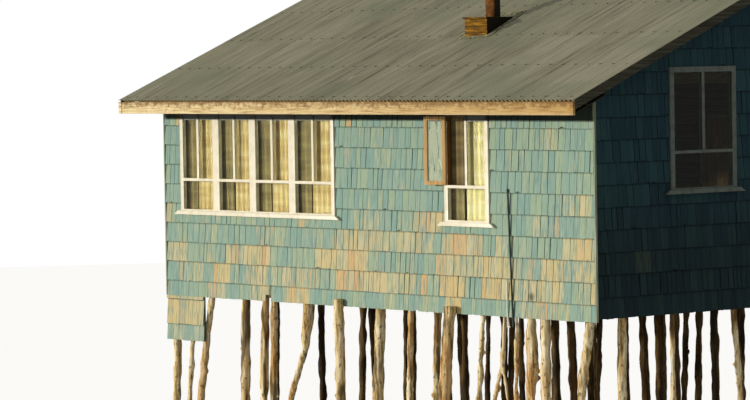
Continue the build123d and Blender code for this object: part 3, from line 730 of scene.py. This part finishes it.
def knot_on(piece, rng):
    """Add one branch stub on a random upright face of the logs."""
    faces = [face for face in piece.data.polygons if abs(face.normal.z) < 0.5]
    face = rng.choices(faces, [f.area for f in faces])[0]
    corners = [piece.data.vertices[i].co for i in face.vertices]
    shares = [rng.random() + 0.1 for _ in corners]
    spot = sum((c * share for c, share in zip(corners, shares)), Vector()) / sum(shares)
    reach = knot_length * rng.uniform(0.4, 1.0)
    lift = Vector((0, 0, rng.uniform(0.1, 0.9)))
    bpy.ops.mesh.primitive_cone_add(
        vertices=8,
        radius1=rng.uniform(*knot_bases),
        radius2=rng.uniform(*knot_tips),
        depth=reach,
        location=spot + face.normal * reach * 0.15,
        rotation=(face.normal + lift).to_track_quat("Z", "Y").to_euler(),
    )
    return bpy.context.object


def peel_logs(name, node, seed, knots, voxel, finish):
    """Turn a node of plain logs into gnarled, ridged ones."""
    rng = random.Random(seed)
    logs = copy_of(node, name)
    joined(name, [logs, *[knot_on(logs, rng) for _ in range(knots)]])
    modify(logs, "REMESH", mode="VOXEL", voxel_size=voxel, use_smooth_shade=True)
    modify(logs, "DISPLACE", texture=gnarl, strength=gnarl_depth, mid_level=0.5, texture_coords="LOCAL")
    modify(
        logs, "DISPLACE", texture=ridges, strength=ridge_depth, mid_level=0.5,
        texture_coords="OBJECT", texture_coords_object=ridge_guide)
    open_up(logs)
    bpy.ops.mesh.bisect(plane_co=(0, 0, 0), plane_no=(0, 0, -1), use_fill=True, clear_outer=True)
    settle(logs, "log_wood", finish, node)


# %% [markdown]
# ## The wood of the logs
#
# Peeled logs dry to a pale gold, some stretches redder than others. Bark stays in brown
# strips and small flakes, checks open along the grain, and the feet are dark and green
# where the tide wets them. Each of these is a noise of its own size, stretched along the log.

# %% Log finish
def patches(tree, place, stretch, detail, roughness=0.5):
    """A noise with so many patches to the metre along each axis."""
    drawn = add(tree, "Mapping", {"Vector": place, "Scale": stretch})
    return add(tree, "TexNoise", {"Vector": drawn, "Scale": 1.0, "Detail": detail, "Roughness": roughness})


def log_finish(name, woods, bark_colour, bark_share):
    """Peeled wood with redder stretches, strips and flakes of bark, and a damp foot."""
    material, tree, shader, place = new_finish(name, {"Roughness": 0.85, "Specular IOR Level": 0.2})
    grain = patches(tree, place, (28, 28, 2.2), 4, 0.6)
    bark = patches(tree, place, (7, 7, 1.3), 3)
    resin = patches(tree, place, (2.2, 2.2, 0.9), 2)
    flakes = patches(tree, place, (24, 24, 13), 2)
    wood = add(tree, "ValToRGB", {"Fac": grain}, zip((0.3, 0.45, 0.6), woods))
    reddened = layer(tree, wood, "#dcae72", resin, 0.45, 0.62, 0.62, stain)
    flake_mask = add(tree, "MapRange", [flakes, 0.60, 0.66, 0, 0.7])
    bark_mask = add(tree, "MapRange", [bark, 0.62 - bark_share, 0.70 - bark_share, 0, 0.85])
    brown = add(tree, "Math", [bark_mask, flake_mask], operation="MAXIMUM")
    barked = add(tree, "Mix", {0: brown, 6: reddened, 7: bark_colour}, **cover)
    height = add(tree, "SeparateXYZ", [place]).outputs["Z"]
    wetness = add(tree, "Math", [bark, 0.9, height], operation="MULTIPLY_ADD")
    wetted = layer(tree, barked, "#453f29", wetness, 1.75, 0.75, 0.8)
    checks = add(tree, "Bump", {"Height": grain, "Strength": 0.6, "Distance": 0.008})
    plug(shader, {"Base Color": wetted, "Normal": checks})
    return material


log_wood = log_finish("peeled_and_weathered_log", ["#7f6233", "#dcc083", "#f8edc9"], "#54401f", 0.08)
# The inner and back rows under the house are coloured darker as painted shade.
shaded_log = log_finish("log_darkened_as_shade", ["#3a2d18", "#5a4829", "#77633d"], "#2b2213", 0.12)

# %% Logs of every row
peel_logs("front_row_logs", "front_piles", 41, 44, 0.020, log_wood)
peel_logs("skirt_logs", "fender_piles", 43, 7, 0.018, log_wood)
peel_logs("gable_row_logs", "gable_piles", 47, 12, 0.020, log_wood)
peel_logs("inner_row_logs", "inner_piles", 53, 30, 0.030, shaded_log)
peel_logs("back_row_logs", "back_piles", 59, 24, 0.025, shaded_log)
bpy.data.objects.remove(ridge_guide)

# %% [markdown]
# ## Corrugated zinc sheets
#
# A roof sheet is rolled into waves of 76 mm, a standard size, which also gives this house
# its scale. One sheet is modelled from a grid: its columns are lifted in three steps into
# waves, and it is given the thickness of 0.6 mm sheet. Copies are laid in two rows a slope.
# Each laps the next by a wave at the side, and the upper row laps the lower one, so that
# rain runs over the joints.

# %% Roof sheets
wave_height = 0.018
wave_room = 0.021
gauge = 0.0006
waves_in_roof = 123
waves_in_sheet = 12
sheets_in_row = 12
end_lap = 0.16
columns_in_wave = 6
over_sheets = wave_height + 3.5 * gauge

roof_low, roof_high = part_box("front_roof")
wave_pitch = (roof_high.x - roof_low.x) / waves_in_roof
slope_run = (roof_high.y - roof_low.y - wave_room * math.sin(roof_pitch)) / math.cos(roof_pitch)
sheet_length = (slope_run + end_lap) / 2
sheet_width = waves_in_sheet * wave_pitch
column = wave_pitch / columns_in_wave

put_down()
bpy.ops.mesh.primitive_grid_add(
    x_subdivisions=waves_in_sheet * columns_in_wave,
    y_subdivisions=3,
    size=1,
    location=(sheet_width / 2, -sheet_length / 2, 0),
)
bpy.ops.transform.resize(value=(sheet_width, sheet_length, 1))
sheet = name_new("roof_sheet")
for lift, columns in ((0.25, (1, 5)), (0.75, (2, 4)), (1.0, (3,))):
    pick(sheet, "VERT", lambda p: round(p.x / column) % columns_in_wave in columns)
    bpy.ops.transform.translate(value=(0, 0, wave_height * lift))
modify(sheet, "SOLIDIFY", thickness=gauge, offset=1.0)
smooth(sheet, 50)
sheet.data.attributes.new("mix", "FLOAT", "POINT")
print(f"waves of {wave_pitch * 1000:.1f} mm, sheets {sheet_width:.2f} by {sheet_length:.2f} m")


def slope_matrix(facing):
    """From a slope's own run, rise and normal to the house: facing is -1 for the front, 1 for the back."""
    head = Vector((0, facing * -roof_high.y, roof_high.z - wave_room * math.cos(roof_pitch)))
    turn = Matrix.Rotation(0 if facing < 0 else math.pi, 4, "Z")
    return Matrix.Translation(head) @ turn @ Matrix.Rotation(roof_pitch, 4, "X")


def lay_slope(name, facing, seed):
    """All sheets of one slope."""
    rng = random.Random(seed)
    laid = []
    for row in range(2):
        for place in range(sheets_in_row):
            first_wave = round(place * (waves_in_roof - waves_in_sheet) / (sheets_in_row - 1))
            x = first_wave * wave_pitch - waves_in_roof * wave_pitch / 2
            y = -row * (sheet_length - end_lap)
            lift = gauge * (1.2 * (place % 2) + 2.5 * (1 - row))
            laid.append(lay(sheet, name, slope_matrix(facing) @ Matrix.Translation((x, y, lift))))
            mark(laid[-1], "mix", rng.random())
    return joined(name, laid)


# %% [markdown]
# ## Old zinc
#
# Zinc coating goes dull and takes on dust from the trees and smoke from the stove. Rain
# draws the dirt down the slope, so the stain is stretched along it. Here and there the
# coating is mossy, and one small pale mark shows on the front slope. Dull zinc is still a
# metal, so part of its light comes off it as a blurred reflection.

# %% Zinc finish
pale_mark = (-0.345, -3.205, 5.911)
zinc, tree, shader, place = new_finish("dull_corrugated_zinc", {"Metallic": 0.35, "Roughness": 0.62})
sheet_mark = add(tree, "Attribute", attribute_name="mix").outputs["Fac"]
stains = patches(tree, place, (14, 0.9, 0.9), 4, 0.6)
dust = patches(tree, place, (0.8, 0.8, 0.8), 3)
by_sheet = add(tree, "Math", [sheet_mark, 0.18, stains], operation="MULTIPLY_ADD")
metal = add(tree, "ValToRGB", {"Fac": by_sheet}, [
    (0.35, "#918d74"), (0.5, "#b2ae92"), (0.62, "#bfbc9f"), (0.75, "#ccc8ac")])
dulled = layer(tree, metal, "#a5ac8d", dust, 0.5, 0.68, 0.6)
beside_mark = add(tree, "Mapping", {
    "Vector": place, "Location": pale_mark, "Scale": (0.018, 0.08, 0.08)}, vector_type="TEXTURE")
off_mark = add(tree, "VectorMath", [beside_mark], operation="LENGTH")
scraped = layer(tree, dulled, "#f4f0df", off_mark, 1.2, 0.8, 0.8)
plug(shader, {"Base Color": scraped})

settle(lay_slope("front_roof_sheets", -1, 61), "zinc_sheet", zinc, "front_roof")
settle(lay_slope("back_roof_sheets", 1, 67), "zinc_sheet", zinc, "back_roof")
bpy.data.objects.remove(sheet)

# %% [markdown]
# ## Nails of the roof
#
# A roof nail has a broad lead head that closes its hole. It goes through a crest, where no
# water runs, into the purlin below. The nails stand in lines over the purlins, one at every
# third wave. One nail head is shaped from a short cylinder: its top is inset and raised.
#
# Lead tarnishes in soft patches. Rust, moss, sawn wood and cloth vary too, each at its own
# scale, so one finish serves them all, and dirt can be laid over it.

# %% Roof nails
nail_radius = 0.013
washer = 0.0025
nail_lines = (0.10, 1.10, 2.10, 3.10, 4.09)
waves_between_nails = 3


def grained(name, sockets, pattern, stops, dirt_and_shade=None, dirt_and_shade_colour="#1f1a0f", relief=0):
    """A finish whose tone follows one pattern of patches.

    dirt_and_shade(tree, place) says how far dark joints, dirt and painted shade cover it, and relief how
    strongly the pattern stands up.
    """
    material, tree, shader, place = new_finish(name, sockets)
    grain = patches(tree, place, *pattern)
    colour = add(tree, "ValToRGB", [grain], stops)
    if dirt_and_shade:
        colour = add(tree, "Mix", {0: dirt_and_shade(tree, place), 6: colour, 7: dirt_and_shade_colour}, **cover)
    plug(shader, {"Base Color": colour})
    if relief:
        plug(shader, {"Normal": add(tree, "Bump", {"Height": grain, "Strength": relief, "Distance": 0.003})})
    return material


put_down()
bpy.ops.mesh.primitive_cylinder_add(
    vertices=8, radius=nail_radius, depth=washer, location=(0, 0, washer / 2))
nail = name_new("roof_nail")
pick(nail, "FACE", lambda p: p.z > washer * 0.9)
bpy.ops.mesh.inset(thickness=nail_radius * 0.35)
bpy.ops.mesh.extrude_region_move(TRANSFORM_OT_translate={"value": (0, 0, 0.003)})
bpy.ops.transform.resize(value=(0.6, 0.6, 1))
put_down()
nails = []
for facing in (-1, 1):
    for run in nail_lines:
        for crest in range(1, waves_in_roof, waves_between_nails):
            x = (crest + 0.5 - waves_in_roof / 2) * wave_pitch
            spot = Matrix.Translation((x, -run, over_sheets))
            nails.append(lay(nail, "nail", slope_matrix(facing) @ spot))
bpy.data.objects.remove(nail)
lead = grained("grey_lead_nail_head", {"Metallic": 0.6, "Roughness": 0.7}, ((3, 3, 3), 2), [
    (0.35, "#7a7660"), (0.55, "#9f9b82"), (0.7, "#cbc6ac")])
settle(joined("roof_nails", nails), "zinc_sheet", lead)

# %% [markdown]
# ## Sawn and planed wood
#
# The other wood of the house is sawn. Each finish starts from the same thing, a grain
# stretched along the board, and differs in colour and in what the weather has done. The
# bargeboards are grey and mossy. The timbers under the floor are damp and dark, and those
# inside are dry. Where boards lie side by side, a dark joint shows at every board's width.

# %% Board finishes
joint_gap = 0.006


def joints(tree, place, axis, board_width, gap):
    """Where a point lies in the joint between two boards, which follow each other along an axis."""
    position = add(tree, "SeparateXYZ", [place]).outputs[axis]
    count = add(tree, "Math", [position, board_width], operation="DIVIDE")
    across = add(tree, "Math", [count], operation="FRACT")
    return add(tree, "Math", [across, gap / board_width], operation="LESS_THAN")


def board_finish(name, colours, grain_scale, gaps=None, roughness=0.8):
    """Sawn wood: a grain of three colours, and a dark joint at every board where gaps are given."""
    return grained(
        name, {"Roughness": roughness, "Specular IOR Level": 0.25}, (grain_scale, 4, 0.6),
        zip((0.32, 0.5, 0.68), colours),
        (lambda tree, place: joints(tree, place, *gaps, joint_gap)) if gaps else None, "#1d160c", 0.4)


along_x, along_y, along_z = (1.5, 40, 40), (40, 1.5, 40), (40, 40, 1.5)
frame_timber = board_finish("dry_sawn_pine", ["#8f7145", "#a98a58", "#c0a06c"], along_x)
wall_timber = board_finish("smoky_wall_boards", ["#5c4a2a", "#6c5833", "#7b663e"], along_x, ("Z", 0.19))
damp_timber = board_finish("damp_floor_timber", ["#33281a", "#4a3b24", "#5e4c30"], along_x)
floor_boards = board_finish("pine_floor_boards", ["#5a4629", "#6f5733", "#836a41"], along_x, ("Y", 0.14))
# The soffit boards are coloured near black as painted shade under the eave.
shaded_soffit_boards = board_finish("soffit_boards_darkened_as_shade", ["#241f15", "#332c1f", "#423a29"], along_x, ("Y", 0.12))
grey_board = board_finish("mossy_grey_board", ["#2e2d22", "#434133", "#5a5846"], along_y)
batten_wood = board_finish("pale_worn_batten", ["#66745f", "#87937a", "#bdbb9b"], along_z)
print("board finishes ready")

# %% [markdown]
# ## Painted shade in the joints, and starter strips
#
# The outer face of the wall boards is painted black, standing in for tarred felt and for
# the shade between shingles, so a dark line shows wherever two shingles stand apart. Only
# the outer face turns black; the boards inside keep their finish.
#
# Nothing stands behind the foot of a gable's lowest course, and daylight would show through
# its joints. So a thin board is nailed there first, as wide as the course is tall.

# %% Painted shade behind the shingles, and starter strips
gap_shade_depth = 0.002
strip_depth, strip_height, strip_lift = 0.006, 0.20, 0.004

tree = wall_timber.node_tree
shader = tree.nodes["Principled BSDF"]
outward = add(tree, "VectorMath", [add(tree, "TexCoord").outputs["Object"]], operation="ABSOLUTE")
parts = add(tree, "SeparateXYZ", [outward]).outputs
at_gable = add(tree, "Math", [parts["X"], core_high.x - gap_shade_depth], operation="GREATER_THAN")
at_front = add(tree, "Math", [parts["Y"], core_high.y - gap_shade_depth], operation="GREATER_THAN")
outside = add(tree, "Math", [at_gable, at_front], operation="MAXIMUM")
boards = shader.inputs["Base Color"].links[0].from_socket
# The outer face turns black: painted shade in the gaps between shingles.
plug(shader, {"Base Color": add(tree, "Mix", {0: outside, 6: boards, 7: "#15150f"}, **cover)})

strip_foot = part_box("right_gable_shingles")[0].z + strip_lift
starters = []
for x in (-core_high.x - strip_depth, core_high.x):
    top = (x + strip_depth, core_high.y, strip_foot + strip_height)
    starters.append(board("starter_strip", (x, -core_high.y, strip_foot), top, 0.001))
settle(joined("gable_starter_strips", starters), "sawn_timber", damp_timber)

# %% [markdown]
# ## Fascia with drips
#
# The fascia is bare and golden. Rain drips from every wave of the sheets onto its top, so
# its upper edge is stained at that spacing, and its lower edge is bleached paler. Both
# marks depend on height, so they are mixed in by the height of the point. The left end is
# bleached all over, and the right keeps more of its resin and is the warmer for it.

# %% Fascia finish
fascia_low, fascia_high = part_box("front_fascia")
raw_fascia, tree, shader, place = new_finish("bare_golden_fascia_board", {"Roughness": 0.75})
grain = patches(tree, place, (3, 55, 55), 5, 0.65)
wood = add(tree, "ValToRGB", {"Fac": grain}, [(0.3, "#a98453"), (0.48, "#ecd297"), (0.7, "#fff3c6")])
parts = add(tree, "SeparateXYZ", [place]).outputs
resinous = layer(tree, wood, "#c1aa80", parts["X"], fascia_low.x, fascia_high.x, how=stain)
drips = patches(tree, place, (11, 1, 16), 5, 0.65)
near_top = add(tree, "MapRange", [parts["Z"], fascia_low.z + 0.05, fascia_high.z, 0.22, 0.50])
stained = add(tree, "Math", [drips, near_top], operation="ADD")
dripped = layer(tree, resinous, "#7d5a28", stained, 0.78, 1.0, 0.85)
bleached = layer(tree, dripped, "#f3e2b4", parts["Z"], fascia_low.z + 0.035, fascia_low.z + 0.015, 0.2)
plug(shader, {"Base Color": bleached})
print("fascia from", round(fascia_low.z, 3), "to", round(fascia_high.z, 3))

# %% [markdown]
# ## Boards and joinery
#
# A board or a window frame in the imported model has sharp edges. On the real one they are
# eased by the plane and by weather. A copy of each node is merged, its flat faces are made
# whole, and its edges get a small bevel.
#
# The windows are painted in a thick cream-white gloss, which has yellowed. The frames of
# the gable are the same white gloss, painted grey as shade. The open sash is bare pine.

# %% Boards and joinery
def dressed(name, node, slot, finish, edge=0.003):
    """A merged copy of a CAD node with whole faces and eased edges."""
    piece = copy_of(node, name)
    open_up(piece)
    bpy.ops.mesh.dissolve_limited(angle_limit=math.radians(1))
    modify(piece, "BEVEL", width=edge, segments=2, limit_method="ANGLE", angle_limit=math.radians(30))
    smooth(piece, 35)
    return settle(piece, slot, finish, node)


def painted_eave_shadow(tree, place, most):
    """How much painted eave shadow a point gets, up to a most: only just under the eave, and only at the
    long walls.
    """
    parts = add(tree, "SeparateXYZ", [place]).outputs
    inward = add(tree, "Math", [parts["Y"]], operation="ABSOLUTE")
    long_wall = add(tree, "Math", [inward, core_high.y - 0.1], operation="GREATER_THAN")
    high = add(
        tree, "MapRange", [parts["Z"], eave_shadow_level - eave_shadow_reach, eave_shadow_level - eave_shadow_reach / 3, 0, most])
    return add(tree, "Math", [high, long_wall], operation="MULTIPLY")


def gloss_paint(name, colours, roughness):
    """Thick brushed gloss paint, a little uneven in tone, with the eave's shadow painted black just under
    the eave.
    """
    return grained(
        name, {"Roughness": roughness}, ((9, 9, 9), 3), zip((0.3, 0.55), colours),
        lambda tree, place: painted_eave_shadow(tree, place, 0.93))


white_gloss = gloss_paint("yellowed_white_gloss_paint", ["#e2d8bb", "#eee7cf"], 0.4)
# The gable's frames: white gloss painted grey as shade.
shaded_white_gloss = gloss_paint("white_gloss_darkened_grey_as_shade", ["#535c53", "#687168"], 0.6)
bare_pine = board_finish("bare_pine_sash", ["#a57c42", "#cba062", "#e2c58c"], along_z, roughness=0.6)
dressed("front_fascia_board", "front_fascia", "raw_fascia", raw_fascia)
dressed("back_fascia_board", "back_fascia", "raw_fascia", raw_fascia)
dressed("right_verge_boards", "right_bargeboards", "grey_board", grey_board)
dressed("left_verge_boards", "left_bargeboards", "grey_board", grey_board)
dressed("corner_trim", "corner_battens", "blue_shingles", batten_wood, 0.005)
dressed("long_window_joinery", "band_window", "white_joinery", white_gloss)
dressed("small_window_joinery", "small_window", "white_joinery", white_gloss)
dressed("gable_window_joinery", "gable_windows", "white_joinery", shaded_white_gloss)
dressed("back_window_joinery", "back_windows", "white_joinery", white_gloss)
dressed("back_door_lining", "back_door_frame", "white_joinery", white_gloss)
dressed("open_pine_sash", "open_sash", "bare_joinery", bare_pine)

# %% [markdown]
# ## The open light
#
# Where a sash shuts against its frame, the rebate is left unpainted, so that the sash
# doesn't stick. With the sash open it shows as bare wood, coloured darker brown than the
# sash as painted shade. Four thin boards line the light.

# %% Lining of the open light
jamb, transom, bar = 0.070, 0.038, 0.042
lower_light = 0.429
lining, lining_reach = 0.003, 0.027
face_y = core_low.y - shingle_depth - 0.012
rebate_y = face_y + 0.030


def hoop(low, high, width):
    """Corners of the four strips just inside a rectangle, the first two as long as it is."""
    (a, c), (b, d) = low, high
    yield (a, c), (a + width, d)
    yield (b - width, c), (b, d)
    yield (a + width, c), (b - width, c + width)
    yield (a + width, d - width), (b - width, d)


light_low = (small_opening[0] + jamb, small_opening[1] + lower_light + transom)
light_high = ((small_opening[0] + small_opening[2]) / 2 - bar / 2, small_opening[3] - jamb)
near, far = rebate_y - lining_reach, rebate_y + lining_reach
linings = [
    board("lining_board", (low[0], near, low[1]), (high[0], far, high[1]), 0.001)
    for low, high in hoop(light_low, light_high, lining)
]
shaded_rebate = board_finish("unpainted_rebate_darkened_as_shade", ["#52340f", "#774d1b", "#986c2e"], along_z)
settle(joined("open_light_lining", linings), "bare_joinery", shaded_rebate)

# %% [markdown]
# ## Glass
#
# Old window glass is clear but throws a soft glare. A path-traced pane also stops sunlight,
# because a ray of shadow doesn't bend through it, and then the curtains behind would be
# dark. So the pane is almost clear for rays of shadow alone.
#
# The pane of the open sash stands out in the rain, in front of all others. It has dried
# salt on it, in streaks, which catches the low sun. Its distance out tells it from the rest.

# %% Window glass
glass, tree, shader, place = new_finish("old_window_glass", {
    "Roughness": 0.02, "IOR": 1.45, "Specular IOR Level": 0.2})
shadow = add(tree, "LightPath").outputs["Is Shadow Ray"]
clear = add(tree, "Math", [shadow, -0.9, 1.0], operation="MULTIPLY_ADD")
outwards = add(tree, "SeparateXYZ", [place]).outputs["Y"]
outdoors = add(tree, "Math", [outwards, face_y - 0.004], operation="LESS_THAN")
salt = patches(tree, place, (26, 26, 4), 3, 0.6)
salty = add(tree, "MapRange", [salt, 0.42, 0.52, 0.1, 0.85])
crust = add(tree, "Math", [outdoors, salty], operation="MULTIPLY")
# The tops of the panes under the eave are painted dark as the eave's shadow.
pane_eave_shadow = painted_eave_shadow(tree, place, 0.85)
covered = add(tree, "Math", [crust, pane_eave_shadow], operation="MAXIMUM")
clean = add(tree, "Math", [1.0, covered], operation="SUBTRACT")
tinted = add(tree, "Mix", {0: crust, 6: "#eef4ea", 7: "#b9c3a6"}, **cover)
dimmed = add(tree, "Mix", {0: pane_eave_shadow, 6: tinted, 7: "#1f1a0f"}, **cover)
plug(shader, {"Alpha": clear, "Transmission Weight": clean, "Base Color": dimmed})


def finish_nodes(slot, finish, *nodes):
    """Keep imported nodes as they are, and give them their finish."""
    for node in nodes:
        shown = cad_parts[node]
        shown.data.materials.clear()
        shown.data.materials.append(finish)
    print(finish.name, "on", *nodes)


finish_nodes("window_glass", glass, "front_glass", "gable_glass", "back_glass")

# %% [markdown]
# ## Lace curtains
#
# Thin lace hangs from a rod behind each front window, gathered to the right of its bay,
# with a net at the left, coloured darker olive as painted shade. Cloth gathered on a rod
# falls in round folds. A grid is stood upright and pushed in and out by a banded texture,
# whose bands run up and down because its guide is stretched that way. The cloth's own
# width is what the folds take up.

# %% Curtains
fold_pitch = 0.110
fold_depth = 0.015
cloth_column = 0.009
curtain_low, curtain_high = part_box("front_curtains")
fold_guide = guide("fold_guide", (10 * fold_pitch / (2 * math.pi), 1000, 1000))
folds = ripple("folds", "WOOD", wood_type="BANDS", noise_basis_2="SIN")


def cloth_finish(name, colours, openness):
    """Thin woven cloth with bands of closer lace across it."""
    return grained(
        name, {"Roughness": 0.9, "Sheen Weight": 0.2, "Alpha": openness}, ((1.2, 1.2, 9), 2),
        zip((0.38, 0.52, 0.66), colours))


lace = cloth_finish("cream_lace", ["#a58c59", "#b59d67", "#c5b183"], 0.97)
pale_lace = cloth_finish("pale_lace", ["#c2b582", "#cdc194", "#d8ceac"], 0.97)
# The net at the left is coloured darker olive as painted shade.
shaded_net = cloth_finish("net_darkened_olive_as_shade", ["#67592f", "#7a6a3e", "#8b7a4c"], 0.93)


def hang(name, left, right, bottom, top, finish):
    """One gathered curtain from its rod down to the sill."""
    put_down()
    drop = top - bottom
    bpy.ops.mesh.primitive_grid_add(
        x_subdivisions=max(8, round((right - left) / cloth_column)),
        y_subdivisions=6,
        size=1,
        location=((left + right) / 2, (curtain_low.y + curtain_high.y) / 2, (bottom + top) / 2),
        rotation=(math.pi / 2, 0, 0),
    )
    bpy.ops.transform.resize(value=(right - left, drop, 1), orient_type="LOCAL")
    cloth = name_new(name)
    modify(
        cloth, "DISPLACE", texture=folds, strength=fold_depth, mid_level=0.5,
        texture_coords="OBJECT", texture_coords_object=fold_guide)
    take_up(cloth)
    bpy.ops.object.shade_smooth()
    settle(cloth, "curtain", finish)
    return cloth


bay_widths = (0.680, 0.680, 0.720, 0.760)
mullion, lap = 0.140, 0.062
net_share, lace_share = 0.33, 0.63
rod_drop, rod_radius = 0.030, 0.008
small_width = small_opening[2] - small_opening[0] - 2 * jamb
bays = []
bay_left = band_opening[0] + jamb
for number, width in enumerate(bay_widths, 1):
    bays.append((f"bay_{number}", bay_left, width, band_opening, lace))
    bay_left += width + mullion
bays.append(("small_window", small_opening[0] + jamb, small_width, small_opening, pale_lace))
for name, left, width, (_, sill, _, lintel), light_cloth in bays:
    top = lintel - rod_drop - rod_radius
    hang(name + "_net", left - lap, left + net_share * width, sill, top, shaded_net)
    inner, right = left + (1 - lace_share) * width, left + width + lap
    hang(name + "_lace", inner, right, sill, top, light_cloth)
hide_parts("front_curtains")
bpy.data.objects.remove(fold_guide)

# %% [markdown]
# ## The chimney
#
# The stovepipe leaves the roof through a wooden curb, a little box that the boards of the
# slope are cut round. It was set slightly askew. Its front is bare and ochre, and its right
# side is painted nearly black as shade. A strip of sheet lies over the waves at its foot,
# green with moss. The pipe and its hat are rusted sheet iron, and the pipe's side away
# from the lamp is painted black as shade.

# %% Curb, flashing, pipe and hat
curb_twist = math.radians(8.3)
curb_board, curb_joint = 0.09, 0.0045
curb_x, curb_y = 0.710, -1.640
curb_half_x, curb_half_y = 0.192, 0.354
apron_reach = 0.08
apron_gauge = 0.002


def paint_shade_side(piece, toward, least):
    """Mark the faces of a piece that look one way, to be painted dark as shade."""
    piece.data.attributes.new("painted_shade", "FLOAT", "FACE")
    mark(piece, "painted_shade", [float(face.normal.dot(toward) > least) for face in piece.data.polygons])


def painted_shade_and_joints(tree, place):
    """Where the curb's side is painted dark as shade, or its boards meet."""
    painted_shade = add(tree, "Attribute", attribute_name="painted_shade").outputs["Fac"]
    return add(tree, "Math", [painted_shade, joints(tree, place, "Z", curb_board, curb_joint)], operation="MAXIMUM")


curb_wood = grained(
    "ochre_boards_with_painted_shade", {"Roughness": 0.8, "Specular IOR Level": 0.2}, ((6, 6, 40), 4),
    [(0.3, "#432b04"), (0.5, "#74500a"), (0.68, "#a87a1c")], painted_shade_and_joints, "#1c1a10")
curb = dressed("chimney_curb_box", "chimney_curb", "sawn_timber", curb_wood, 0.005)
# The curb's right side is painted nearly black as shade.
paint_shade_side(curb, Vector((math.cos(curb_twist), math.sin(curb_twist), 0)), 0.5)

flashing = grained("mossy_flashing_sheet", {"Roughness": 0.85}, ((14, 14, 14), 4), [
    (0.3, "#5f6039"), (0.46, "#85835e"), (0.6, "#a09c7c"), (0.74, "#cdc6a2")])
apron_x, apron_y = curb_half_x + apron_reach, curb_half_y + apron_reach
strips = [
    board("flashing_strip", (low[1], low[0], 0), (high[1], high[0], apron_gauge), 0.0008)
    for low, high in hoop((-apron_y, -apron_x), (apron_y, apron_x), apron_reach)
]
apron = joined("chimney_flashing", strips)
run_to_curb = (roof_high.y - curb_y) / math.cos(roof_pitch)
on_slope = Matrix.Translation((curb_x, -run_to_curb, over_sheets)) @ Matrix.Rotation(curb_twist, 4, "Z")
apron.data.transform(slope_matrix(-1) @ on_slope)
settle(apron, "zinc_sheet", flashing)

# Where marked, the rust is painted near black as shade.
rust = grained(
    "rusted_sheet_iron", {"Roughness": 0.85, "Specular IOR Level": 0.2}, ((9, 9, 9), 5, 0.65),
    [(0.3, "#2e1d0c"), (0.48, "#684117"), (0.6, "#845322"), (0.75, "#98713f")],
    lambda tree, place: add(tree, "Attribute", attribute_name="painted_shade").outputs["Fac"], "#2a2820")
pipe = dressed("rusty_stovepipe", "chimney_pipe", "rusty_pipe", rust, 0.001)
# The pipe's side away from the lamp is painted black as shade.
paint_shade_side(pipe, Vector((-key_direction.x, -key_direction.y, 0)).normalized(), 0.05)
dressed("rusty_pipe_hat", "chimney_cap", "rusty_pipe", rust, 0.001)

# %% [markdown]
# ## Frame, floor and pipes
#
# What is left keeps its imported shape. The timbers under the floor hang in damp shade, and
# the roof frame is dry. A thin grey plastic pipe leans down the front wall, and a short
# white one stands beside its foot. Both are chalky from the sun.

# %% Frame, floor and pipes
finish_nodes("sawn_timber", damp_timber, "floor_beams", "floor_joists", "rim_boards")
finish_nodes("sawn_timber", frame_timber, "rafters", "purlins", "tie_beams", "ridge_board")
finish_nodes("sawn_timber", wall_timber, "front_wall", "back_wall", "right_gable_wall", "left_gable_wall")
finish_nodes("sawn_timber", floor_boards, "floor")
finish_nodes("sawn_timber", shaded_soffit_boards, "eave_soffits")
finish_nodes("zinc_sheet", zinc, "ridge_cap")
finish_nodes("rusty_pipe", rust, "curtain_rods")
for name, node, slot, material_name, colours in (
    ("thin_waste_pipe", "waste_pipe", "grey_plastic", "dark_grey_plastic", ["#23342f", "#33463f"]),
    ("white_drain_pipe", "drain_pipe", "white_plastic", "white_plastic", ["#d5d2c2", "#ece9da"]),
):
    plastic = grained(material_name, {"Roughness": 0.55}, ((5, 5, 5), 3), zip((0.35, 0.6), colours))
    dressed(name, node, slot, plastic, 0.001)

# %% [markdown]
# ## The back door
#
# The door at the back is closed. It is made of upright boards held by two ledges, the way a
# door is made where there is no joiner. Its knob is turned from a thin rose, inset and
# drawn out in four steps. It is on the hidden side, so it is kept plain.

# %% Back door
door_boards = 6
ledge_height = 0.14
knob_inset, knob_height = 0.07, 1.0
rose_radius, rose_depth = 0.028, 0.006
leaf_low, leaf_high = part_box("back_door")
leaf = leaf_high - leaf_low
board_width = leaf.x / door_boards
ledge_y = leaf_low.y + leaf.y / 3
door_parts = []
for number in range(door_boards):
    left = leaf_low.x + number * board_width
    door_parts.append(board(
        "door_board", (left, ledge_y, leaf_low.z), (left + board_width, leaf_high.y, leaf_high.z), 0.004, 2))
for share in (0.22, 0.78):
    foot = leaf_low.z + leaf.z * share - ledge_height / 2
    door_parts.append(board(
        "door_ledge", (-leaf.x / 2, leaf_low.y, foot), (leaf.x / 2, ledge_y, foot + ledge_height), 0.004, 2))
settle(joined("back_board_door", door_parts), "bare_joinery", bare_pine, "back_door")

put_down()
bpy.ops.mesh.primitive_cylinder_add(
    vertices=16, radius=rose_radius, depth=rose_depth, rotation=(math.pi / 2, 0, 0),
    location=(leaf_high.x - knob_inset, leaf_high.y + rose_depth / 2, leaf_low.z + knob_height))
rose = name_new("back_door_knob")
pick(rose, "FACE", lambda p: p.y > leaf_high.y + rose_depth * 0.9)
bpy.ops.mesh.inset(thickness=0.018)
for lift, spread in ((0.018, 1.0), (0.006, 2.4), (0.012, 1.0), (0.006, 0.6)):
    bpy.ops.mesh.extrude_region_move(TRANSFORM_OT_translate={"value": (0, lift, 0)})
    bpy.ops.transform.resize(value=(spread, 1, spread))
smooth(rose, 40)
settle(rose, "rusty_pipe", rust)
